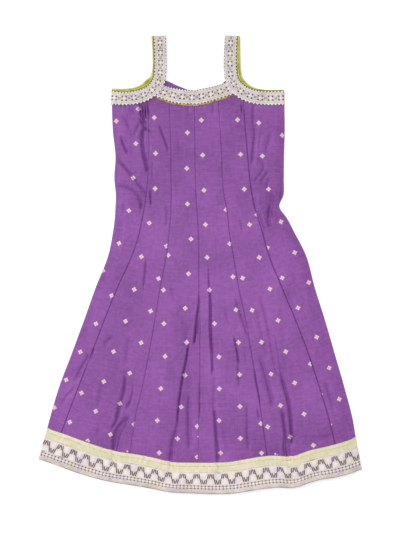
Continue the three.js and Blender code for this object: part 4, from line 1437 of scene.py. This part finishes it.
def lay_lace(name, units, grid, repeat, width, length, finish):
    """Lays a sheet and its threads along a ribbon grid, in the whole number of repeats that fits best."""
    count = max(1, round(length / repeat))
    path = ribbon_mesh(name + "_path", *grid)
    settings = {"Ribbon": path, "Count": count, "Repeat": repeat * MM, "Width": width * MM, "Finish": finish}
    laid_pieces = []
    for unit, part in zip(units, ("", "_threads")):
        base = bpy.data.meshes.new(name + "_base")
        laid_pieces.append(grown(name + part, laying, base, {"Unit": unit, **settings}))
    bpy.data.objects.remove(path)
    print(name, "has", count, "repeats and", [len(piece.data.polygons) for piece in laid_pieces], "faces")
    return laid_pieces


# %% [markdown]
# ## Silver lace thread
# The lace mixes matt cotton and a little metal thread. Its material reads the thread's tone from the
# mesh and breaks it up with fine speckle, as real thread does. Here and there the silvery thread
# takes on a breath of lilac or straw. A ramp turns tone into colour, so one material serves all.

# %% Silver lace thread
# the darkest colour is the hem lace's brown net, and painted shade where the tape's openings and tooth gaps
# show it
LACE_COLOURS = [
    (NET_AND_PAINTED_SHADE, (94, 64, 76)), (CORD, (148, 139, 136)), (GROUND, (216, 204, 198)), (PALE, (236, 226, 224)),
    (BRIGHT, (252, 247, 243)),
]


def thread_colour(tree, tone, stops):
    """The colour of a thread's tone, from a ramp whose stops are pairs of a tone and a colour."""
    ramp = put(tree, "ShaderNodeValToRGB", {0: tone})
    for k, (position, colour) in enumerate(stops):
        stop = ramp.color_ramp.elements[k] if k < 2 else ramp.color_ramp.elements.new(position)
        stop.position = position
        stop.color = srgb(*colour)
    return ramp.outputs[0]


lace_thread, tree, shader = new_material("silver_lace_thread", Roughness=0.55,
                                         Specular_IOR_Level=0.45, Sheen_Weight=0.1)
tone = kept_value(tree, "thread_tone")
place = object_place(tree)
speckle = noise_at(tree, place, 900.0, 2.0)
patchy = noise_at(tree, place, 55.0, 2.0)
shade = weighted(tree, (tone, 1.0), (ranged(tree, speckle, 0.3, 0.7, -0.12, 0.12), 1.0),
                 (ranged(tree, patchy, 0.3, 0.7, -0.08, 0.08), 1.0))
spun = thread_colour(tree, shade, LACE_COLOURS)
tints = noise_at(tree, place, 70.0, 1.0)
lilac = mixed(tree, ranged(tree, tints, 0.52, 0.66, 0.0, 0.22), spun, srgb(176, 156, 192))
straw = mixed(tree, ranged(tree, tints, 0.46, 0.34, 0.0, 0.14), lilac, srgb(206, 190, 140))
tree.links.new(straw, shader.inputs["Base Color"])
emboss(tree, shader, speckle, 0.4, 0.2)

# %% [markdown]
# ## Tapes at the armholes and the neck
# Each armhole tape runs from the shoulder to the side seam. The neck tape lies between them, and
# the armhole tapes overlap its ends, as their raised edges show.

# %% Lay the tapes
LACE_LIFT = 0.25  # the neck lace's underside above the cloth
ON_TOP = 0.3  # the armhole tapes lie this much above the neck tape
OVERLAP = 0.05  # each end of the neck tape runs this share of its length on under an armhole tape
OVERLAP_AT = 0.62  # where the neck tape's ends lie, as a share of an armhole tape's length
OVERLAP_REACH = 24.0
OVERLAP_RISE = 1.3  # that the armhole tape's inner edge stands up there
laces = []  # each a sheet with its threads, and its length in mm
for side, line in armhole_lines.items():
    x, y = line.strip(line.tape[:, None] * (ACROSS if side == "left" else ACROSS[::-1]))
    length = float(line.at[-1])
    over = np.exp(-(((line.at - OVERLAP_AT * length) / OVERLAP_REACH) ** 2))
    z = front_face(x, y) + LACE_LIFT + ON_TOP + OVERLAP_RISE * over[:, None] * ACROSS**1.5
    tape_pieces = lay_lace("armhole_lace_" + side + "_tape", tape_units, (x, y, z),
                           TAPE_REPEAT, TAPE_WIDTH, length, lace_thread)
    laces.append((tape_pieces, length))
x, y, at = neck_strip(NECK_LACE_SHARE * ACROSS[::-1], 160, -OVERLAP, 1.0 + OVERLAP)
z = front_face(x, y) + LACE_LIFT
length = float(at[-1] - at[0])
tape_pieces = lay_lace("neck_lace_tape", tape_units, (x, y, z), TAPE_REPEAT, TAPE_WIDTH, length, lace_thread)
laces.append((tape_pieces, length))

# %% [markdown]
# ## The hem line
# The gold band is sewn along the panels' lower edge and the lace border under it. Both run on down
# the grain of each panel, so they flare with the skirt. A strip between two depths below that edge
# serves for both, in front and behind. The border is a little narrower where the folds draw it up.

# %% Strips along the hem
BAND_DEPTH = 18.2
BORDER_DEPTH = (40.2, 41.0)  # lace border, at the left and at the right side seam
# where the border is a little narrower: round this x, over this reach, by this much
DRAWN_UP = [(188.0, 30.0, 3.0), (-40.0, 74.0, 3.4), (-150.0, 40.0, 1.6)]
HEM_GAP = 0.3  # between band and border
HEM_STATIONS = 46  # to a panel
GRAIN_STEP = 60.0  # how far up a panel its grain is read
GRAIN_PASSES = 6  # of smoothing, so that the trims turn gently from panel to panel


def hem_strip(plans, start, depths, column_count):
    """x and y over a strip below the hem, from left to right and from its lower edge up, and its length."""
    lines = []
    for i, plan in enumerate(plans):
        share = np.linspace(0.0, 1.0, HEM_STATIONS)
        if i > 0:
            share = share[1:]
        y = plan.hem(share)
        x = plan.across(y, share)
        grain_x, grain_y = x - plan.across(y + GRAIN_STEP, share), np.full(len(x), -GRAIN_STEP)
        run = np.hypot(grain_x, grain_y)
        side_to_side = (i + share) / len(plans)
        lines.append(np.stack([x, y, grain_x / run, grain_y / run, side_to_side], -1))
    x, y, grain_x, grain_y, side_to_side = np.concatenate(lines).T
    for _ in range(GRAIN_PASSES):
        grain_x[1:-1] = (grain_x[:-2] + grain_x[1:-1] + grain_x[2:]) / 3
    depth = depths[0] + (depths[1] - depths[0]) * side_to_side
    if start > 0.0:
        depth = depth - sum(by * np.exp(-(((x - at) / reach) ** 2)) for at, reach, by in DRAWN_UP)
    below = start + depth[:, None] * np.linspace(1.0, 0.0, column_count)
    length = np.hypot(np.diff(x), np.diff(y)).sum()
    return x[:, None] + below * grain_x[:, None], y[:, None] + below * grain_y[:, None], length


print("hem length in front, mm:", round(float(hem_strip(front_plans, 0.0, (1.0, 1.0), 2)[2])))


# %% [markdown]
# ## One repeat of the gold band
# The band is a woven ribbon: a pale edge, a smooth cream strip, a cord, a wide part of ribs that
# stand across it, and another cord. A brown cord along its upper edge is painted shade, for the dark
# line where the silk meets the band. Its unit holds four ribs, because tones that repeat with every rib would
# look stamped.

# %% One repeat of the gold band
RIB_PITCH = 1.55
BAND_REPEAT = 4 * RIB_PITCH
PAINTED_JOIN_SHADE = -1.0  # tone of the brown cord along the band's upper edge, painted shade where the silk meets the band
band = LaceUnit(0.4)
top = BAND_DEPTH / 2
band.ground(block(BAND_REPEAT, -top, top), [], 0.0, 0.45, tone=0.5)
# the first cord, brown, is painted shade where the silk meets the band
for y, width, high, tone in (
    (top - 0.55, 1.1, 0.6, PAINTED_JOIN_SHADE), (top - 1.7, 1.2, 0.75, 1.0), (top - 7.3, 0.9, 0.8, 0.0),
    (-top + 0.7, 1.1, 0.8, 0.9),
):
    band.cord((0.0, y), (BAND_REPEAT, y), width, high, tone)
for k in range(4):
    x = (k + 0.5) * RIB_PITCH
    band.cord((x, -top + 1.3), (x, top - 7.8), 1.4, 0.85, 0.7)
    band.cord((x - 0.5, top - 6.4), (x + 0.5, top - 1.4), 1.3, 0.58, 0.6)
band_units = band.finished("band_unit")

# %% [markdown]
# ## One repeat of the hem lace
# The border repeats every 25 mm. Four leaning slots, close together, make a dark block that is
# notched below, then a lower one that is notched above. So the blocks step down and up along the
# hem, with pale padded patches between them. Two rows of dark dots with pale squares follow, and a
# grey beaded edge. The slots show a brown net, which is sewn behind the lace.

# %% Sizes of the hem lace
LACE_REPEAT = 24.8
LACE_DEPTH = 40.0
# a block's slots: from its middle line, above its middle, length, width, slant in degrees
SLOTS = [(1.65, 0.6, 9.0, 2.1, 16.0), (4.85, -0.3, 9.6, 2.1, 12.0)]
BLOCK_DEPTHS = (7.2, 17.2)  # middles of the blocks that point up and of those that point down
# padded patches: quarters along the repeat, then corners beside that line and at their depths
PATCHES = [
    (3, [(-4.4, 1.9), (-3.0, 9.0), (0.0, 12.4), (3.0, 9.0), (4.4, 1.9)]),
    (1, [(4.4, 22.3), (3.0, 15.4), (0.0, 12.2), (-3.0, 15.4), (-4.4, 22.3)]),
]
BLOCKS_END = 22.6  # depth where the blocks end and the rows of dots start
DOTS_END = 32.0
DOT_PITCH = LACE_REPEAT / 4
DOT_ROWS = (25.2, 30.3)
BEADS = 12
BEAD_PITCH = LACE_REPEAT / BEADS
SCALLOP_ROOT = 39.0


def down(depth):
    """y at a depth below the lace's upper edge."""
    return LACE_DEPTH / 2 - depth


# %% The ground of the hem lace, and the net behind it
border = LaceUnit(0.45)
slots = []
for off, above, length, width, slant in SLOTS:
    for side in (-1.0, 1.0):
        turn = side * math.radians(90.0 - slant)
        x = LACE_REPEAT / 4 + side * off
        slots.append(bar(x, down(BLOCK_DEPTHS[0] - above), length, width, -turn))
        x = 3 * LACE_REPEAT / 4 + side * off
        slots.append(bar(x, down(BLOCK_DEPTHS[1] + above), length, width, turn))
border.ground(block(LACE_REPEAT, down(BLOCKS_END), down(0.0)), slots, 0.1, 0.5, 0.6)
dots = [ring((k + 0.5) * DOT_PITCH, down(depth), 1.8, 1.25, 6) for k in range(4) for depth in DOT_ROWS]
border.ground(block(LACE_REPEAT, down(DOTS_END), down(BLOCKS_END)), dots, 0.1, 0.5, 0.58)
edge = []
for k in range(BEADS):
    x = k * LACE_REPEAT / BEADS
    edge += [(x, down(SCALLOP_ROOT)), (x + 0.6, down(LACE_DEPTH)), (x + BEAD_PITCH - 0.6, down(LACE_DEPTH))]
edge += [(LACE_REPEAT, down(SCALLOP_ROOT)), (LACE_REPEAT, down(DOTS_END)), (0.0, down(DOTS_END))]
border.ground(edge, [], 0.1, 0.5, 0.46)
border.ground(block(LACE_REPEAT, down(34.0), down(0.6)), [], 0.0, 0.08, NET_AND_PAINTED_SHADE, "threads", 3.1)

# %% Patches, cords and beads on the hem lace
for quarters, corners in PATCHES:
    patch = [(quarters * LACE_REPEAT / 4 + off, down(depth)) for off, depth in corners]
    border.pad(patch, 0.9, PALE, 0.7)
for k in range(4):
    x = (k + 0.5) * DOT_PITCH
    border.pad(ring(k * DOT_PITCH + DOT_PITCH, down(27.75), 2.1, 1.7, 4, math.pi / 4), 1.0, PALE, 0.7)
    border.cord((x, down(26.6)), (x, down(28.9)), 1.1, 0.6, NET_AND_PAINTED_SHADE)
    for y in (down(depth) for depth in DOT_ROWS):
        border.cord(((k + 0.85) * DOT_PITCH, y), ((k + 1.15) * DOT_PITCH, y), 1.2, 0.7, CORD)
for depth, width, tone in ((0.5, 0.9, BRIGHT), (31.9, 0.9, PALE), (34.2, 0.9, PALE), (38.7, 1.3, CORD)):
    border.cord((0.0, down(depth)), (LACE_REPEAT, down(depth)), width, 0.9, tone)
for k in range(BEADS):
    x = (k + 0.5) * LACE_REPEAT / BEADS
    border.pad(ring(x, down(36.9), 0.8, 1.0, 6), 1.1, PALE)
    border.pad(ring(x + 0.5 * LACE_REPEAT / BEADS, down(36.2), 0.55, 0.8, 4), 0.7, CORD)
    border.cord((x - 0.7, down(35.0)), (x + 0.7, down(36.6)), 0.7, 0.85, PALE)
border_units = border.finished("border_unit")

# %% [markdown]
# ## Gold band thread
# Cream, straw and grey-green threads lie side by side in the ribs, so the colour changes from rib to
# rib and stays nearly the same along each one. Noise squeezed across the band gives that. The tone
# below every other is kept for the brown cord along the upper edge, painted shade where the silk meets the
# band.

# %% Gold band thread
BAND_COLOURS = [
    (0.0, (190, 188, 156)), (0.5, (230, 217, 184)), (0.75, (232, 222, 204)), (1.0, (244, 228, 222)),
]
band_thread, tree, shader = new_material("gold_band_thread", Roughness=0.42, Specular_IOR_Level=0.5,
                                         Sheen_Weight=0.15)
tone = kept_value(tree, "thread_tone")
place = object_place(tree)
squeezed = out(tree, "ShaderNodeMapping", {"Vector": place, "Scale": (210.0, 120.0, 0.0)})
ribs = noise_at(tree, squeezed, 1.0, 1.0)
patchy = noise_at(tree, place, 34.0, 2.0)
shade = weighted(tree, (tone, 1.0), (ranged(tree, ribs, 0.3, 0.7, -0.3, 0.25), 1.0))
spun = thread_colour(tree, shade, BAND_COLOURS)
green = mixed(tree, ranged(tree, patchy, 0.4, 0.66, 0.0, 0.55), spun, srgb(204, 208, 166))
blocks = noise_at(tree, squeezed, 0.9, 2.0)
straw = mixed(tree, ranged(tree, blocks, 0.55, 0.68, 0.0, 0.5), green, srgb(238, 224, 150))
# the brown of the upper edge cord is painted shade where the silk meets the band
with_join_shade = mixed(tree, ranged(tree, tone, -0.3, -0.9), straw, srgb(134, 86, 96))
tree.links.new(with_join_shade, shader.inputs["Base Color"])

# %% [markdown]
# ## Band and border along the hem
# Both trims go on in the same way, so one loop lays them in front and behind. Behind, the ribbon is
# walked from the other end, which turns its face down to the table.

# %% Lay the hem trims
FRONT_TRIM_LIFT = 0.3
BACK_TRIM_FACE = 1.0  # a back trim hangs down from here to the table
# kind, units, start below the panels, depths at both side seams, repeat, width, finish
TRIMS = [
    ("band", band_units, 0.0, (BAND_DEPTH, BAND_DEPTH), BAND_REPEAT, BAND_DEPTH, band_thread),
    ("lace", border_units, HEM_GAP + BAND_DEPTH, BORDER_DEPTH, LACE_REPEAT, LACE_DEPTH, lace_thread),
]
for layer, plans in (("front", front_plans), ("back", back_plans)):
    for kind, units, start, depths, repeat, width, finish in TRIMS:
        x, y, length = hem_strip(plans, start, depths, 9)
        if layer == "front":
            grid = (x, y, front_face(x, y) + FRONT_TRIM_LIFT)
        else:
            grid = (x[::-1], y[::-1], np.full(x.shape, BACK_TRIM_FACE))
        hem_pieces = lay_lace(f"{layer}_hem_{kind}_trim", units, grid, repeat, width, length, finish)
        laces.append((hem_pieces, float(length)))

# %% [markdown]
# ## Woven motifs
# Small square motifs of four petals are scattered over the silk. They could be a pattern in the
# material, but their floss stands up and catches the light, so they are meshes. One motif is four
# petals round a knot, inside a thin square outline.

# %% One motif
PETAL_OUT = 2.45  # from the motif's middle to a petal's
PETAL = 2.35  # from a petal's middle to its corners
OUTLINE = 5.6  # from the motif's middle to its outline's corners
motif = LaceUnit(-0.1)
for dx, dy in ((1, 0), (0, 1), (-1, 0), (0, -1)):
    motif.pad(ring(dx * PETAL_OUT, dy * PETAL_OUT, PETAL, PETAL, 4), 0.55, BRIGHT, 0.7)
motif.pad(ring(0.0, 0.0, 1.0, 1.0, 4), 0.5, BRIGHT, 0.7)
for k in range(4):
    a = k * math.pi / 2
    b = a + math.pi / 2
    start = (OUTLINE * math.cos(a), OUTLINE * math.sin(a))
    end = (OUTLINE * math.cos(b), OUTLINE * math.sin(b))
    motif.cord(start, end, 0.9, 0.25, CORD)
_, motif_unit = motif.finished("motif_unit")

# %% [markdown]
# ## Where the motifs lie
# The motifs were woven into the cloth before it was cut, in columns that follow each panel's grain,
# so they turn with it, and a seam can cut one in half. A column needs only a few stops: the rest
# follow evenly on a smooth curve. The back mirrors the front.

# %% Columns of motifs
# panel, count, stops: number in the column, x, y
COLUMNS = [
    (0, 6, [(0, -111, 280), (2, -120, 156.5), (3, -127.5, 97.5), (4, -145.5, 39), (5, -174.5, -10)]),
    (0, 5, [(0, -158.5, -55), (3, -240.5, -206.5), (4, -262, -256.5)]),
    (1, 11, [(0, -82, 264.5), (2, -80.5, 137), (4, -105, 15), (6, -133.5, -101), (7, -155, -155.5),
             (10, -201.5, -315.5)]),
    (1, 7, [(0, -60, 34), (3, -105.5, -139.5), (4, -126, -194), (6, -160.5, -304)]),
    (1, 2, [(0, -212.5, -229.5), (1, -233.5, -282)]),
    (2, 10, [(0, -22.5, 237.5), (2, -22.5, 109.5), (3, -16, 46.5), (5, -26.5, -77.5), (6, -24, -139),
             (9, -40.5, -311.5)]),
    (2, 7, [(0, -57, 17.5), (1, -65.5, -45), (3, -62.5, -164), (5, -76.5, -279), (6, -73, -337)]),
    (3, 11, [(0, 2.5, 260), (3, 10, 72.5), (5, 17, -45), (7, 34, -165), (9, 34, -279), (10, 37, -337.5)]),
    (3, 7, [(0, 53.5, 38), (3, 69, -139), (6, 72.5, -311)]),
    (3, 2, [(0, 109.5, -284.5), (1, 110.5, -337.5)]),
    (4, 11, [(0, 67.5, 260.5), (2, 79.5, 136), (3, 89, 72.5), (5, 125.5, -43), (7, 154, -155.5),
             (10, 203.5, -323.5)]),
    (4, 6, [(0, 76.5, -23.5), (2, 110.5, -138.5), (5, 161.5, -309)]),
    (4, 2, [(0, 121.5, -290.5), (1, 135.5, -341.5)]),
    (5, 6, [(0, 105.5, 255), (2, 123, 136), (3, 145.5, 77.5), (5, 195.5, -31.5)]),
    (5, 6, [(0, 121, 31), (2, 176, -77), (3, 209.5, -129.5), (5, 250, -241)]),
    (0, 1, [(0, -150.5, 258.5)]),
    (5, 1, [(0, 148, 233)]),
    (1, 3, [(0, -118.5, -286), (1, -113.5, -306), (2, -131, -337)]),
    (2, 3, [(0, -5, -289.5), (1, -0.5, -308), (2, -5, -344.5)]),
    (3, 1, [(0, 47, 99)]),
    (4, 1, [(0, 102, 90.5)]),
    (4, 1, [(0, 198.5, -177.5)]),
    (5, 2, [(0, 216.5, -232), (1, 233, -287)]),
]


def motif_places(plans, flip):
    """Each panel's motifs, as rows of x, y and turn. flip mirrors the whole layout from left to right."""
    found = [[] for _ in plans]
    for panel, count, stops in COLUMNS:
        number, x, y = np.array(stops, float).T
        steps = np.arange(count, dtype=float)
        if count > 2:  # a column of one or two has a stop for each motif
            x, y = smooth(steps, number, x), smooth(steps, number, y)
        i = len(plans) - 1 - panel if flip else panel
        x = -x if flip else x
        turn = np.arctan(plans[i].lean(y))
        found[i] += list(zip(x.tolist(), y.tolist(), turn.tolist()))
    return found


print("motifs in front:", sum(len(places) for places in motif_places(front_plans, False)))

# %% [markdown]
# ## Setting motifs on a panel
# Geometry Nodes stand a motif on each of a panel's points, turned with the grain. Then a ray from
# above each of its corners finds the cloth and sets the corner down on it, so a motif bends over a
# fold. A corner that finds no cloth is dropped, which cuts the motif at the seam.

# %% Stand a motif on each point
DROP_FROM = 50.0 * MM  # the rays start this far off the cloth
setting, given, result = node_tree("set_on_cloth", [
    ("Unit", "Object"), ("Cloth", "Object"), ("Facing", "Float"), ("Relief", "Float"), ("Finish", "Material"),
])
unit = object_shape(setting, given["Unit"], True)
cloth = object_shape(setting, given["Cloth"], False)
turn = out(setting, "GeometryNodeInputNamedAttribute", {"Name": "turn"}, data_type="FLOAT")
half_turn = ranged(setting, given["Facing"], -1.0, 1.0, math.pi, 0.0)
angles = out(setting, "ShaderNodeCombineXYZ", {1: half_turn, 2: turn})
rotation = out(setting, "FunctionNodeEulerToRotation", {0: angles})
laid = out(setting, "GeometryNodeInstanceOnPoints",
           {"Points": given["Geometry"], "Instance": unit, "Rotation": rotation})
real = out(setting, "GeometryNodeRealizeInstances", {0: laid})

# %% Let it down on the cloth
spot = point_place(setting)
above = maths(setting, "MULTIPLY", given["Facing"], DROP_FROM)
start = out(setting, "ShaderNodeCombineXYZ", {0: spot[0], 1: spot[1], 2: above})
to_cloth = maths(setting, "MULTIPLY", given["Facing"], -1.0)
inward = out(setting, "ShaderNodeCombineXYZ", {2: to_cloth})
ray = put(setting, "GeometryNodeRaycast", {"Target Geometry": cloth, "Source Position": start,
                                           "Ray Direction": inward, "Ray Length": 1.0})
stands = maths(setting, "MULTIPLY", spot[2], given["Relief"])
height = out(setting, "ShaderNodeCombineXYZ", {2: stands})
landed = out(setting, "ShaderNodeVectorMath", {0: ray.outputs["Hit Position"], 1: height},
             operation="ADD")
missed = out(setting, "FunctionNodeBooleanMath", {0: ray.outputs["Is Hit"]}, operation="NOT")
kept = out(setting, "GeometryNodeDeleteGeometry", {"Geometry": real, "Selection": missed})
moved_and_dressed(setting, kept, landed, given["Finish"], result)
print("nodes that set motifs:", len(setting.nodes))

# %% [markdown]
# ## Motif thread
# The petals are pinkish-cream floss, and their outlines a tan-gold thread. The tone that the unit
# keeps for each thread tells them apart.

# %% Motif thread
motif_thread, tree, shader = new_material("motif_thread", Roughness=0.45, Specular_IOR_Level=0.5,
                                          Sheen_Weight=0.2)
tone = kept_value(tree, "thread_tone")
place = object_place(tree)
speckle = noise_at(tree, place, 700.0, 1.0)
shade = weighted(tree, (tone, 1.0), (ranged(tree, speckle, 0.3, 0.7, -0.12, 0.12), 1.0))
tan_to_cream = mixed(tree, ranged(tree, shade, 0.2, 0.85), srgb(146, 102, 112), srgb(234, 200, 218))
tree.links.new(tan_to_cream, shader.inputs["Base Color"])

# %% [markdown]
# ## Motifs on every panel
# Each panel gets its own piece of motifs, so that a changed panel can take its motifs along. The
# back's motifs face the table and are pressed flat by the garment's weight.

# %% Set the motifs
PRESSED = 0.35  # how much of their height the back's motifs keep
motif_pieces = []
for layer, plans, cloths, facing in (
    ("front", front_plans, front_pieces, 1.0), ("back", back_plans, back_pieces, -1.0),
):
    places = motif_places(plans, facing < 0.0)
    for name, cloth_piece, spots in zip(PANELS, cloths, places):
        base = bpy.data.meshes.new("motif_points")
        base.from_pydata([(x * MM, y * MM, 0.0) for x, y, _ in spots], [], [])
        base.attributes.new("turn", "FLOAT", "POINT").data.foreach_set("value", [t for _, _, t in spots])
        settings = {"Unit": motif_unit, "Cloth": cloth_piece, "Facing": facing, "Finish": motif_thread,
                    "Relief": 1.0 if facing > 0.0 else PRESSED}
        motif_pieces.append(grown(layer + "_" + name + "_motifs", setting, base, settings))
print("motif pieces:", len(motif_pieces), "with", face_count(motif_pieces), "faces")

# %% [markdown]
# ## Attaching the pieces
# Every piece rides on the garment's one body, and all but the motifs and the lace threads stand for
# a node of the frame, whose CAD part is hidden. Silk, facings, lace and band are sheets; their cut
# sizes are worked out, but not used. The pipings are cords and no sheets.


def cut_size(piece):
    """The width and length of a piece's cut, from its grain coordinates, in metres."""
    uv = np.zeros(2 * len(piece.data.loops), np.float32)
    piece.data.uv_layers["grain"].uv.foreach_get("vector", uv)
    spread = np.ptp(uv.reshape(-1, 2), axis=0)
    return float(spread[0]), float(spread[1])


def declare(piece, node, width, length):
    """Rides on the body and stands for a node, whose CAD part it hides. Sizes are in metres; width and length
    are not used.
    """
    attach(piece, "root")
    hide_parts(node)


# %% Attach silk and motifs
for piece in motif_pieces:
    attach(piece, "root")
for i, piece in enumerate(front_pieces + back_pieces + strap_pieces):
    width, length = cut_size(piece)
    declare(piece, piece.name.removesuffix("_silk"), width, length)

# %% Attach trims
for piece in facing_pieces:
    width, length = cut_size(piece)
    node = piece.name.removesuffix("_satin")
    declare(piece, node, width, length)
for piece in piping_pieces + [neck_piping]:
    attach(piece, "root")
    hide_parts(piece.name.removesuffix("_satin"))
for (piece, threads), length in laces:
    is_band = "band" in piece.name
    width = BAND_DEPTH if is_band else LACE_DEPTH if "hem" in piece.name else TAPE_WIDTH
    node = piece.name.rsplit("_", 1)[0]
    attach(threads, "root")
    declare(piece, node, width * MM, length * MM)
print("sheets of lace and band:", len(laces))

# %% [markdown]
# ## Closing
# The script works out both boxes, that of the CAD model and that of the dressed one, and prints them.

# %% Sizes, and the end
low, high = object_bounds()
print("dressed box, mm:", [round(c / MM, 1) for c in (*low, *high)])
